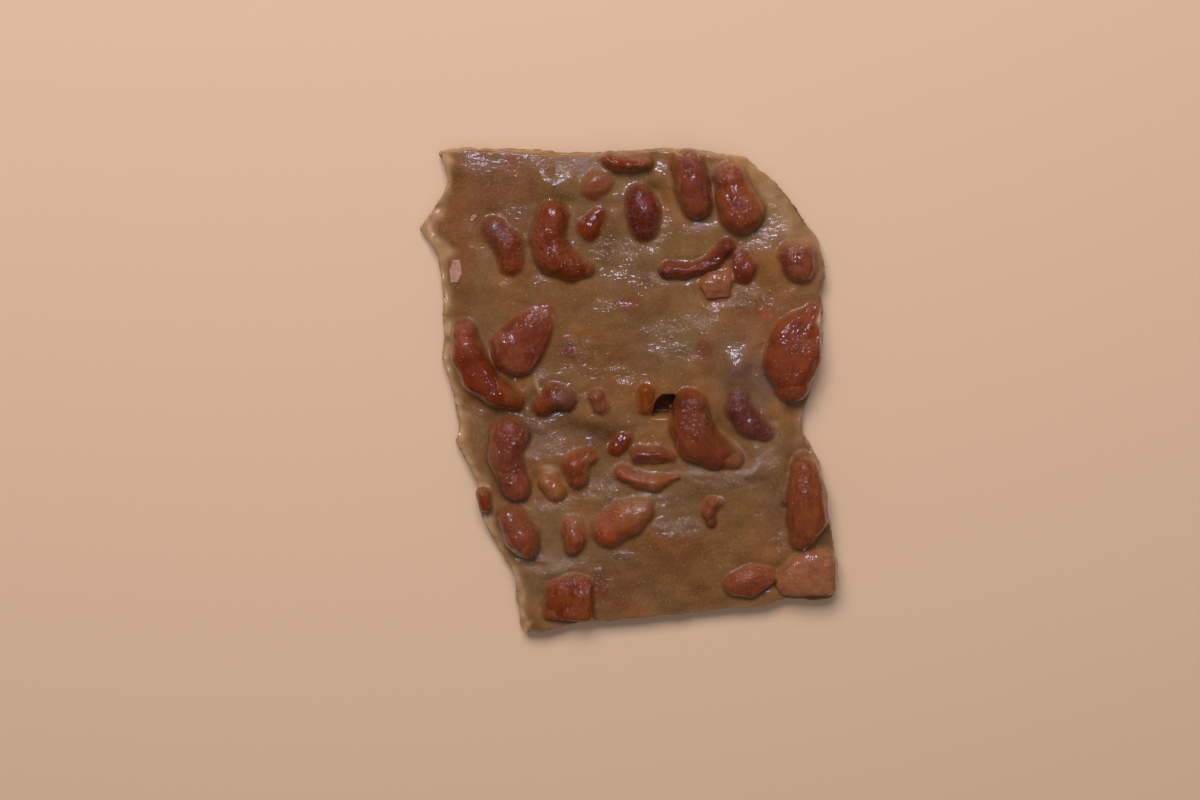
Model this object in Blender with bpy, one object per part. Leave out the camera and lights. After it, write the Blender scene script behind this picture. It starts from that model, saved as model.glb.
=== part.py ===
"""Nut brittle piece: one broken slab of caramel candy with roasted cashews set in its upper face.

Metres, +Z up. The slab lies flat on its poured underside, with its origin there, at the middle of its
length and width. Shapes are worked out in millimetres on the slab and scaled to metres at the end; an
empty that carries every piece puts the middle of the broken outline on the origin.
"""

import math
from collections import namedtuple

import bmesh
import bpy
from mathutils import Vector, noise
from mathutils.geometry import delaunay_2d_cdt

MM = 0.001

# Driving dimensions, in millimetres.
THICKNESS = 5.8  # candy between the nuts, above the underside
SWELL = 0.55  # slow rise and fall of the candy's face
SWELL_LENGTH = 17.0  # size of one swell
LUMP_FALL = 1.4  # how steeply a lump falls away: its height is down to a quarter at its radius
EDGE_REACH = 3.2  # how far in from the edge the candy thins towards it
EDGE_STEP = 2.7  # spacing of the points along the broken edge
EDGE_CHIPS = 0.5  # how far the fracture wanders to either side
EDGE_CHIP_LENGTH = 5.0  # size of one chip along the fracture
RIM_SET_IN = 0.5  # how far the upper rim stands back from the belly of the edge
FOOT_SET_IN = 0.55  # the same for the lower rim
FOOT_CHIPS = 0.5  # how far the lower rim wanders
BELLY_SHARE = 0.5  # height of the belly as a share of the edge's thickness
FACE_STEP = 3.5  # spacing of the points on the candy's face
FACE_JITTER = 0.5  # how far each of them is moved off its place
FACE_CLEAR = 0.7  # nearest that one comes to the rim, in spacings
NUT_GAP = 0.34  # clearance between a nut and the pocket it sits in
NUT_UNEVEN = 0.06  # how unevenly a nut's width runs along it, as a share
NUT_SHOULDER = 0.8  # under 1, a nut keeps its height nearer to its ends than its width
PIT_FLOOR = 1.6  # candy left under the open bubble beside the large cashew

# One corner of the broken outline, anticlockwise: place, and how thick the candy is at the edge there.
Corner = namedtuple("Corner", "x y edge")
OUTLINE = [
    Corner(-48, 61, 4.0),
    Corner(-45.5, 53, 3.6),
    Corner(-50, 46, 2.8),
    Corner(-53.5, 41, 1.8),
    Corner(-49, 35, 2.8),
    Corner(-47.5, 26, 3.4),
    Corner(-48, 6, 3.6),
    Corner(-45.5, -2, 4.0),
    Corner(-44, -11, 4.0),
    Corner(-45, -15, 3.6),
    Corner(-39, -27, 4.2),
    Corner(-39.5, -33, 4.4),
    Corner(-36, -41, 4.2),
    Corner(-30, -52, 4.0),
    Corner(-29, -64, 4.4),
    Corner(-28, -68, 4.6),
    Corner(-7, -64.5, 5.0),
    Corner(20, -62, 4.8),
    Corner(36.5, -60, 5.0),
    Corner(42, -58, 5.0),
    Corner(54.5, -58.5, 3.4),
    Corner(56, -53, 3.6),
    Corner(53.5, -36, 4.4),
    Corner(50.5, -21, 4.6),
    Corner(45.5, -12, 3.4),
    Corner(45.5, -8, 3.2),
    Corner(48, 1, 4.4),
    Corner(47.5, 4, 4.6),
    Corner(49.5, 8, 4.8),
    Corner(50, 21, 4.8),
    Corner(49, 26, 4.8),
    Corner(50.5, 29, 4.8),
    Corner(48.5, 38, 5.0),
    Corner(42, 47.5, 5.2),
    Corner(37, 53.5, 5.2),
    Corner(29, 60, 5.0),
    Corner(13, 62, 4.8),
    Corner(-7, 61, 4.8),
    Corner(-17, 61, 4.8),
    Corner(-40, 62.5, 4.4),
]

# Lumps (candy run over a nut that stays out of sight) and hollows of the face: place, radius, height.
Lump = namedtuple("Lump", "x y radius height")
LUMPS = [
    Lump(-19.5, 55, 5.5, 1.7),
    Lump(28, 5, 6.0, 2.3),
    Lump(10.5, -41.5, 7.0, 1.3),
    Lump(33, -20, 5.5, 0.9),
    Lump(-12.5, -9.5, 5.5, -1.1),
    Lump(26, -38, 8.0, -0.8),
    Lump(-6, 22, 10.0, -0.5),
    Lump(6, -54, 8.0, -0.4),
    Lump(38, 20, 6.0, 0.5),
    Lump(-38, 46, 8.0, 0.4),
]

# One nut or broken bit of nut. x and y are the middle of its centre line and turn its direction there,
# in degrees. length runs along the centre line, bend is the whole angle that it turns through, and
# wave draws that turn out towards one end. taper above 0 makes the far end the wide one. ends 2 is
# round, more is blunt and less is pointed; tip is the same for the far end alone, and crown for the
# cross-section. rise is how far the nut stands over the candy's mean face, and sunk how far it
# reaches below.
Nut = namedtuple(
    "Nut",
    "name x y turn length width bend taper wave ends tip crown rise sunk skin",
    defaults=(0, 0, 0, 2.4, None, 2.0, 3.5, 3.6, "roasted"),
)
NUTS = [
    Nut("cashew_hooked", -18.9, 37.4, -61, 25, 7.6, bend=138, taper=-0.14, wave=-16, rise=3.4),
    Nut("cashew_long", -39.4, 5.4, -56, 29.5, 8.2, bend=82, taper=-0.2, wave=-8, rise=4.4),
    Nut("cashew_top_middle", 16, 52.4, -82, 18.5, 8.6, bend=12, rise=4.0),
    Nut("cashew_top_bean", 27.5, 49.5, -66, 19, 9.8, bend=-18, taper=0.12, ends=2.6, rise=4.4),
    Nut("cashew_big_right_edge", 42.9, 9, 73, 26, 12.4, bend=-20, taper=-0.08, tip=1.6, rise=4.6),
    Nut("cashew_upright", -31, -19, -90, 23.5, 8.8, bend=52, taper=-0.08, ends=2.6, rise=4.2),
    Nut("cashew_large_middle", 20, -12.4, -43, 27.5, 11, bend=60, taper=-0.2, rise=4.8),
    Nut("cashew_lower_right_edge", 47, -31, -88, 24, 9.4, bend=-35, ends=2.2, rise=4.6),
    Nut("cashew_lower_left", -28.5, -39.5, -70, 15.5, 9.6, bend=10, rise=3.4),
    Nut("cashew_diagonal", -2.5, -36, 42, 16.6, 10.4, bend=-10, rise=3.4),
    Nut("cashew_corner", 46, -50.8, 8, 16.5, 10.4, ends=3, rise=3.2),
    Nut("cashew_split_right", 42.6, 33.5, -80, 12.5, 9.6, ends=2.6, rise=2.6),
    Nut("cashew_sunk_left", -31, 38.5, -70, 17, 7.6, bend=-75, rise=1.5, skin="sunk"),
    Nut("cashew_sunk_top", 4.5, 46, -105, 15.5, 8.2, bend=20, rise=1.9, skin="sunk"),
    Nut("cashew_sunk_right", 29.5, -7.5, -50, 19.5, 5.8, bend=85, rise=1.7, skin="sunk"),
    Nut("half_leaf", -25.8, 12.4, 62, 23, 12, bend=-10, taper=-0.24, tip=1.4, crown=2.6, rise=2.8),
    Nut("half_rim_top", 0, 58.6, 0, 15, 4.2, bend=30, rise=1.6),
    Nut("half_wavy", 18.3, 32.8, 23, 20.5, 4.2, bend=46, taper=-0.25, wave=-4, ends=3, rise=1.9),
    Nut("half_hook", -13.8, -19, -126, 15, 5.2, bend=138, wave=20, rise=2.6),
    Nut("half_low_left", -13.5, -40, -75, 11.3, 5.6, bend=-25, ends=1.9, rise=2.0),
    Nut("half_rim_middle", 4.5, -25, -5, 19.5, 3.4, bend=60, rise=1.3),
    Nut("half_middle", 7, -16.5, -8, 11.3, 4.8, bend=-20, rise=1.8),
    Nut("half_bottom", 31.5, -53, 15, 12.6, 7.0, rise=2.2),
    Nut("chunk_square", -15.4, -57.3, 8, 11.6, 11.4, ends=5, crown=3.2, rise=2.6),
    Nut("chunk_cut_face", 22.6, 26, 15, 8, 6.4, ends=5, crown=4, rise=1.5, skin="cut"),
    Nut("chip_triangle", -9.3, 42.5, -108, 10.4, 7, taper=0.3, ends=1.9, rise=1.7),
    Nut("chip_heart", 29.8, 31.4, -64, 9, 5.4, ends=1.9, rise=1.7),
    Nut("chip_coated", -8, 53, 45, 8, 6.2, rise=1.5, skin="cut"),
    Nut("chip_dark", -19, -3, 25, 10.8, 7, bend=-30, rise=2.2),
    Nut("chip_small_middle", -6.8, -3.5, -60, 6.7, 4.6, rise=1.2),
    Nut("chip_pale", -20, -26.5, -50, 9.2, 6.0, rise=1.7, skin="cut"),
    Nut("chip_left_edge", -37.2, -30, -75, 6.7, 4.0, rise=1.4),
    Nut("chip_by_bubble", 4.6, -3, -80, 9.7, 3.8, rise=1.5, skin="cut"),
    Nut("chip_petal", -3, -14.2, 58, 9, 3.1, rise=1.2),
    Nut("chip_curl", 21.5, -32, -120, 10.3, 3.0, bend=100, rise=1.1, skin="cut"),
]

# The open bubble, an oval shaft in the candy: the same kind of shape, as a cutter.
BUBBLE = Nut("bubble", 9.2, -4.6, 55, 7.0, 4.6, crown=3.0, rise=3.0, sunk=THICKNESS - PIT_FLOOR)

# Linear colour and roughness of each finish.
FINISHES = {
    "candy": ((0.30, 0.155, 0.062), 0.34),
    "roasted": ((0.20, 0.046, 0.018), 0.30),
    "sunk": ((0.15, 0.042, 0.026), 0.32),
    "cut": ((0.34, 0.12, 0.045), 0.36),
}


def clear_scene():
    for obj in list(bpy.data.objects):
        bpy.data.objects.remove(obj, do_unlink=True)


def material(name):
    """A glossy food surface as one Principled shader."""
    colour, roughness = FINISHES[name]
    made = bpy.data.materials.new(name)
    made.use_nodes = True
    shader = made.node_tree.nodes["Principled BSDF"]
    shader.inputs["Base Color"].default_value = (*colour, 1.0)
    shader.inputs["Roughness"].default_value = roughness
    shader.inputs["Metallic"].default_value = 0.0
    made.diffuse_color = (*colour, 1.0)
    return made


def new_object(name, bm, slab, finish=None):
    """Turns a bmesh in millimetres into a smooth object in metres that the empty carries."""
    bmesh.ops.recalc_face_normals(bm, faces=bm.faces[:])
    bmesh.ops.scale(bm, vec=(MM, MM, MM), verts=bm.verts[:])
    mesh = bpy.data.meshes.new(name)
    bm.to_mesh(mesh)
    bm.free()
    mesh.shade_smooth()
    if finish:
        mesh.materials.append(finish)
    obj = bpy.data.objects.new(name, mesh)
    bpy.context.scene.collection.objects.link(obj)
    obj.parent = slab
    return obj


# ---------------------------------------------------------------- face of the candy


def wander(x, y, size, layer):
    """Smooth uneven value from about -1 to 1 that changes over the size; each layer is another one."""
    return noise.noise(Vector((x / size, y / size, layer)))


def face_height(x, y):
    """Height of the candy's face away from the edge."""
    height = THICKNESS + SWELL * wander(x, y, SWELL_LENGTH, 2.0)
    for lump in LUMPS:
        away = ((x - lump.x) ** 2 + (y - lump.y) ** 2) / lump.radius**2
        height += lump.height * math.exp(-LUMP_FALL * away)
    return height


# ---------------------------------------------------------------- nuts


def heading(nut, t):
    """Direction of the centre line at t, from -1 at its near end to 1 at its far end."""
    return math.radians(nut.bend / 2 * t + nut.wave * math.cos(math.pi * t))


def centre_line(nut, t, steps=16):
    """Point of the centre line at t, in millimetres, with the nut lying along +X at its middle."""
    here = Vector((0.0, 0.0))
    step = nut.length / 2 * t / steps
    for i in range(steps):
        angle = heading(nut, t * (i + 0.5) / steps)
        here += step * Vector((math.cos(angle), math.sin(angle)))
    return here


def power(value, exponent):
    return math.copysign(abs(value) ** exponent, value)


def rings_and_sides(nut):
    """How many rings a nut has, and how many sides each: fewer on a chip than on a large nut."""
    if nut.length > 17 and nut.width > 7:
        return 7, 10
    if nut.length > 12:
        return 5, 8
    return 4, 7


def ring(bm, nut, t, sides):
    """One ring of a nut at t: a squashed circle across its centre line."""
    blunt = nut.tip if nut.tip and t > 0 else nut.ends
    full = (1 - abs(t) ** blunt) ** (1 / blunt)
    half = nut.width / 2 * full * (1 + nut.taper * t)
    half *= 1 + NUT_UNEVEN * noise.noise(Vector((nut.x, nut.y, 3.0 * t)))
    angle = heading(nut, t)
    side = Vector((-math.sin(angle), math.cos(angle)))
    loop = []
    for j in range(sides):
        turn = 2 * math.pi * j / sides
        point = centre_line(nut, t) + half * power(math.cos(turn), 2 / nut.crown) * side
        height = (nut.rise if math.sin(turn) > 0 else nut.sunk) * full**NUT_SHOULDER
        height *= power(math.sin(turn), 2 / nut.crown)
        loop.append(bm.verts.new((*point, height)))
    return loop


def nut_shape(nut):
    """The closed body of a nut: rings strung along its bent centre line between its two tips."""
    bm = bmesh.new()
    rings, sides = rings_and_sides(nut)
    tips = [bm.verts.new((*centre_line(nut, end), 0.0)) for end in (-1, 1)]
    places = [math.sin(math.pi * ((i + 1) / (rings + 1) - 0.5)) for i in range(rings)]
    loops = [ring(bm, nut, t, sides) for t in places]
    for j in range(sides):
        k = (j + 1) % sides
        for first, second in zip(loops, loops[1:]):
            bm.faces.new((first[j], first[k], second[k], second[j]))
        bm.faces.new((tips[0], loops[0][j], loops[0][k]))
        bm.faces.new((tips[1], loops[-1][j], loops[-1][k]))
    return bm


def grow(bm, distance):
    """Moves each face outwards by the distance, along the corners' normals."""
    bmesh.ops.recalc_face_normals(bm, faces=bm.faces[:])
    moves = [vert.normal * distance * vert.calc_shell_factor() for vert in bm.verts]
    for vert, move in zip(bm.verts, moves):
        vert.co += move


def place(obj, nut):
    """Sets the nut on the slab, its widest level with the candy's face there."""
    obj.location = (nut.x * MM, nut.y * MM, face_height(nut.x, nut.y) * MM)
    obj.rotation_euler.z = math.radians(nut.turn)


def add_nut(nut, slab, finishes):
    obj = new_object(nut.name, nut_shape(nut), slab, finishes[nut.skin])
    place(obj, nut)


def add_cutter(nut, gap, slab, cutters):
    """A hidden copy of a nut's shape, grown by the gap, which only the candy's Boolean reads."""
    bm = nut_shape(nut)
    grow(bm, gap)
    obj = new_object("pocket_" + nut.name, bm, slab)
    place(obj, nut)
    bpy.context.scene.collection.objects.unlink(obj)
    cutters.objects.link(obj)
    obj.hide_render = True
    obj.display_type = "WIRE"


# ---------------------------------------------------------------- candy


def broken_edge():
    """Points along the outline with the thickness there, worn into an uneven fracture."""
    points = []
    for start, end in zip(OUTLINE, OUTLINE[1:] + OUTLINE[:1]):
        span = math.hypot(end.x - start.x, end.y - start.y)
        steps = max(1, round(span / EDGE_STEP))
        for i in range(steps):
            share = i / steps
            x = start.x + (end.x - start.x) * share
            y = start.y + (end.y - start.y) * share
            edge = start.edge + (end.edge - start.edge) * share
            out = Vector((end.y - start.y, start.x - end.x)) / span
            chip = 0 if i == 0 else EDGE_CHIPS * wander(x, y, EDGE_CHIP_LENGTH, 7.0)
            points.append((Vector((x, y)) + chip * out, edge))
    return points


def set_in(points, distances):
    """The loop moved inwards, each point by its own distance."""
    moved = []
    for i, (point, distance) in enumerate(zip(points, distances)):
        along = (points[(i + 1) % len(points)] - points[i - 1]).normalized()
        moved.append(point + distance * Vector((-along.y, along.x)))
    return moved


def thinned(height, away, edge):
    """The face runs down to the edge's own thickness over the last few millimetres."""
    return height - max(0.0, height - edge) * math.exp(-away / EDGE_REACH)


def inside(point, loop):
    """Whether a line from the point towards +X crosses the loop an odd number of times."""
    crossings = 0
    for first, second in zip(loop, loop[1:] + loop[:1]):
        if (first.y > point.y) != (second.y > point.y):
            share = (point.y - first.y) / (second.y - first.y)
            crossings += point.x < first.x + share * (second.x - first.x)
    return crossings % 2 == 1


def face_points(rim):
    """Staggered points over the face, clear of the rim."""
    low = [min(p[i] for p in rim) for i in (0, 1)]
    high = [max(p[i] for p in rim) for i in (0, 1)]
    row_step = FACE_STEP * math.sqrt(3) / 2
    points = []
    for row in range(int((high[1] - low[1]) / row_step) + 1):
        for column in range(int((high[0] - low[0]) / FACE_STEP) + 1):
            x = low[0] + (column + 0.5 * (row % 2)) * FACE_STEP
            y = low[1] + row * row_step
            off = FACE_JITTER * Vector((wander(x, y, 3.0, 11.0), wander(x, y, 3.0, 13.0)))
            point = Vector((x, y)) + off
            away = min((point - corner).length for corner in rim)
            if away > FACE_CLEAR * FACE_STEP and inside(point, rim):
                points.append(point)
    return points


def add_face(bm, rim, edge):
    """The swelling upper face. Its first points are the rim's, in the rim's order."""
    sides = [(i, (i + 1) % len(rim)) for i in range(len(rim))]
    inside_only, merge = 1, 1e-4
    points, _, faces, *_ = delaunay_2d_cdt(rim + face_points(rim), sides, [], inside_only, merge)
    verts = []
    for point in points:
        nearest = min(range(len(rim)), key=lambda i: (rim[i] - point).length)
        away = (rim[nearest] - point).length
        height = thinned(face_height(point.x, point.y), away, edge[nearest][1])
        verts.append(bm.verts.new((point.x, point.y, height)))
    for corners in faces:
        bm.faces.new([verts[i] for i in corners])
    return verts[: len(rim)]


def add_candy(slab, finish, cutters):
    """The slab of candy: a flat underside, an uneven broken edge and a swelling upper face."""
    edge = broken_edge()
    belly = [point for point, _ in edge]
    rim = set_in(belly, [RIM_SET_IN] * len(belly))
    foot = set_in(belly, [FOOT_SET_IN + FOOT_CHIPS * wander(p.x, p.y, 4.0, 17.0) for p in belly])
    bm = bmesh.new()
    upper = add_face(bm, rim, edge)
    middle = [bm.verts.new((p.x, p.y, BELLY_SHARE * thick)) for p, thick in edge]
    lower = [bm.verts.new((p.x, p.y, 0.0)) for p in foot]
    for above, below in ((upper, middle), (middle, lower)):
        for i in range(len(rim)):
            j = (i + 1) % len(rim)
            bm.faces.new((above[i], below[i], below[j], above[j]))
    bm.faces.new(lower)
    obj = new_object("candy", bm, slab, finish)
    cut = obj.modifiers.new("nut_pockets", "BOOLEAN")
    cut.operation = "DIFFERENCE"
    cut.operand_type = "COLLECTION"
    cut.collection = cutters
    cut.solver = "EXACT"


# ---------------------------------------------------------------- the whole piece


def add_slab():
    """The empty that carries every piece and puts the middle of the outline on the origin."""
    slab = bpy.data.objects.new("slab", None)
    bpy.context.scene.collection.objects.link(slab)
    belly = [point for point, _ in broken_edge()]
    for axis in (0, 1):
        values = [point[axis] for point in belly]
        slab.location[axis] = -(min(values) + max(values)) / 2 * MM
    return slab


def main():
    clear_scene()
    finishes = {name: material(name) for name in FINISHES}
    cutters = bpy.data.collections.new("cutters")
    bpy.context.scene.collection.children.link(cutters)
    slab = add_slab()
    for nut in NUTS:
        add_nut(nut, slab, finishes)
        add_cutter(nut, NUT_GAP, slab, cutters)
    add_cutter(BUBBLE, 0.0, slab, cutters)
    add_candy(slab, finishes["candy"], cutters)


main()
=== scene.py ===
"""Cashew brittle: one broken slab of caramel candy with roasted cashews in its upper face, lying on a pale table."""

import math
from collections import namedtuple

import bmesh
import bpy
import numpy as np
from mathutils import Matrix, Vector, noise
from mathutils.bvhtree import BVHTree


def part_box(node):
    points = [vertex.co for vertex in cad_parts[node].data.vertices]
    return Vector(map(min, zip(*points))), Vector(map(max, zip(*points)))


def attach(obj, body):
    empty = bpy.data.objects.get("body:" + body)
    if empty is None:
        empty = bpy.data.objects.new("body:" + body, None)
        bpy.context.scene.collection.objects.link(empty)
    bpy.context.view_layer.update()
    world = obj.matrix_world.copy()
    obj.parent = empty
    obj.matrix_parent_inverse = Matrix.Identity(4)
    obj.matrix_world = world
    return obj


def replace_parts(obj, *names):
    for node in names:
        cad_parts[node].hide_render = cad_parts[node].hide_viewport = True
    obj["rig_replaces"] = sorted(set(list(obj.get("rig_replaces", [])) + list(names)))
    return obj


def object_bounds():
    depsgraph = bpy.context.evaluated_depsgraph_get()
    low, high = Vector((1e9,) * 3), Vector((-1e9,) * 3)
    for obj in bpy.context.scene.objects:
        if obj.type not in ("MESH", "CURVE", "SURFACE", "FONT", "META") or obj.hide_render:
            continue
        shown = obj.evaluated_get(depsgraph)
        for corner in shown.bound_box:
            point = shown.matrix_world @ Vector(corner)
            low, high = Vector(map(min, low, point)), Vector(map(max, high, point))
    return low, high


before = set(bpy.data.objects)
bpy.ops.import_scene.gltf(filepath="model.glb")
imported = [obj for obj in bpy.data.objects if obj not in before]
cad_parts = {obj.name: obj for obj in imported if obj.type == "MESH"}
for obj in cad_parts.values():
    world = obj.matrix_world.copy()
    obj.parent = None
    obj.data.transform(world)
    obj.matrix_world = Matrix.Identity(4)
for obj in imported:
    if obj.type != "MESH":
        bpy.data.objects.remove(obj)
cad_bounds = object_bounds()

MM = 0.001
scene = bpy.context.scene

# ---------------------------------------------------------------- table, light and camera
# A pale peach paper sweep, lit from beyond the piece's top edge by one soft window and by an even
# room light. The camera hangs over the piece, leaning a little towards the top edge.

CAMERA_AIM = Vector((-8.43, 0.08, 6.0)) * MM
CAMERA_DISTANCE = 560 * MM
CAMERA_LEAN = math.radians(16)
CAMERA_LENS = 65.52  # millimetres on a 36 mm wide sensor

scene.view_settings.view_transform = "Standard"

camera_data = bpy.data.cameras.new("camera")
camera_data.lens = CAMERA_LENS
camera_data.clip_start = 0.01
camera = bpy.data.objects.new("camera", camera_data)
camera.rotation_euler.x = -CAMERA_LEAN
camera.location = CAMERA_AIM + CAMERA_DISTANCE * Vector((0, math.sin(CAMERA_LEAN), math.cos(CAMERA_LEAN)))
scene.collection.objects.link(camera)
scene.camera = camera

world = bpy.data.worlds.new("room")
world.use_nodes = True
world.node_tree.nodes["Background"].inputs["Color"].default_value = (1.0, 0.96, 0.93, 1.0)
world.node_tree.nodes["Background"].inputs["Strength"].default_value = 0.20
world.cycles_visibility.glossy = False
scene.world = world


def soft_light(name, place, size, power, colour, in_gloss, in_colour=True):
    """A soft rectangular light that faces the middle of the piece, for its gloss, its colour or both."""
    data = bpy.data.lights.new(name, "AREA")
    data.shape = "RECTANGLE"
    data.size, data.size_y = size
    data.energy = power
    data.color = colour
    light = bpy.data.objects.new(name, data)
    light.location = place
    light.rotation_euler = (-Vector(place)).to_track_quat("-Z", "Y").to_euler()
    light.visible_glossy = in_gloss
    light.visible_diffuse = in_colour
    scene.collection.objects.link(light)


soft_light("window", (-0.05, 0.46, 0.88), (0.32, 0.15), 5.2, (0.72, 0.76, 1.0), True, False)
soft_light("low_sky", (-0.14, 0.70, 0.74), (0.60, 0.40), 12.7, (1.0, 0.965, 0.93), False)
soft_light("room_light", (0.3, -0.5, 1.3), (1.4, 1.4), 3.0, (1.0, 0.95, 0.9), False)

bpy.ops.object.select_all(action="DESELECT")
bpy.ops.mesh.primitive_plane_add(size=4.0, location=(0, 0, -0.05 * MM))
table = bpy.context.object
table.name = "table"
paper = bpy.data.materials.new("peach_paper")
paper.use_nodes = True
paper_shader = paper.node_tree.nodes["Principled BSDF"]
paper_shader.inputs["Roughness"].default_value = 0.75
paper_shader.inputs["Specular IOR Level"].default_value = 0.2
paper_shader.inputs["Base Color"].default_value = (0.575, 0.40, 0.288, 1.0)
table.data.materials.append(paper)

# ---------------------------------------------------------------- whole roasted cashews
# Kidney-shaped nuts, roasted red brown and stirred into the hot candy, so that each wears a thin
# glossy coat of it. Each starts from the nut's own solid, is rounded, and then gets its own bulges,
# dents and broken faces, an uneven swell and the fine wrinkles of its skin, which run along the nut.


def select_only(piece):
    bpy.ops.object.select_all(action="DESELECT")
    piece.select_set(True)
    bpy.context.view_layer.objects.active = piece


def copy_of_solid(node, name):
    """A new piece from a CAD node's mesh, its loose triangles merged into one skin."""
    piece = bpy.data.objects.new(name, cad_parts[node].data.copy())
    scene.collection.objects.link(piece)
    piece.data.materials.clear()
    select_only(piece)
    bpy.ops.object.mode_set(mode="EDIT")
    bpy.ops.mesh.select_all(action="SELECT")
    bpy.ops.mesh.remove_doubles(threshold=0.01 * MM)
    bpy.ops.mesh.customdata_custom_splitnormals_clear()
    bpy.ops.object.mode_set(mode="OBJECT")
    return piece


def fatten(piece, distance):
    """Swells a piece outwards all round by the distance."""
    select_only(piece)
    bpy.ops.object.mode_set(mode="EDIT")
    bpy.ops.mesh.select_all(action="SELECT")
    bpy.ops.transform.shrink_fatten(value=distance, use_even_offset=True)
    bpy.ops.object.mode_set(mode="OBJECT")


def apply_modifier(piece, kind, **settings):
    """Adds a modifier to a piece and applies it."""
    select_only(piece)
    modifier = piece.modifiers.new(kind.lower(), kind)
    for key, value in settings.items():
        setattr(modifier, key, value)
    bpy.ops.object.modifier_apply(modifier=modifier.name)


def points_of(piece):
    """The piece's points as an array, in metres."""
    co = np.empty(len(piece.data.vertices) * 3)
    piece.data.vertices.foreach_get("co", co)
    return co.reshape(-1, 3)


def normals_of(piece):
    normals = np.empty(len(piece.data.vertices) * 3)
    piece.data.vertex_normals.foreach_get("vector", normals)
    return normals.reshape(-1, 3)


def set_points(piece, points):
    piece.data.vertices.foreach_set("co", points.ravel())
    piece.data.update()


def wander(points, sizes, layer):
    """Smooth uneven values from about -1 to 1 at points, each axis with its own size, all in millimetres."""
    scaled = points / np.array(sizes)
    return np.array([noise.noise(Vector((x, y, z + 7.7 * layer))) for x, y, z in scaled])


def creases(points, sizes, layer):
    """Sharp-bottomed folds: 0 along a crease, up to 1 between two."""
    return np.minimum(1.0, 3.0 * np.abs(wander(points, sizes, layer)))


def along_nut(piece):
    """The points in millimetres in the nut's own axes, the first along it and the last upwards."""
    points = points_of(piece) / MM
    centred = points - points.mean(axis=0)
    _, axes = np.linalg.eigh(centred[:, :2].T @ centred[:, :2])
    length = axes[:, 1]
    across = np.array([-length[1], length[0]])
    return np.column_stack([centred[:, :2] @ length, centred[:, :2] @ across, centred[:, 2]])


def store(piece, name, kind, values):
    """Keeps one value for each point on the piece, for its material to read."""
    attribute = piece.data.attributes.new(name, kind, "POINT")
    field = {"FLOAT": "value", "FLOAT_VECTOR": "vector", "FLOAT_COLOR": "color"}[kind]
    attribute.data.foreach_set(field, np.ascontiguousarray(values, np.float32).ravel())


Mark = namedtuple("Mark", "x y long wide turn lift")  # a bulge or, where lift is below 0, a dent
Cut = namedtuple("Cut", "x y below out_x out_y out_z")  # a flat broken face through a place below the nut's top


def lift_at(x, y, marks):
    """How far the marks lift the places, all in millimetres."""
    total = np.zeros(np.broadcast(x, y).shape)
    for mark in marks:
        turn = math.radians(mark.turn)
        along = (x - mark.x) * math.cos(turn) + (y - mark.y) * math.sin(turn)
        across = (y - mark.y) * math.cos(turn) - (x - mark.x) * math.sin(turn)
        total += mark.lift * np.exp(-((along / mark.long) ** 2) - (across / mark.wide) ** 2)
    return total


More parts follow.
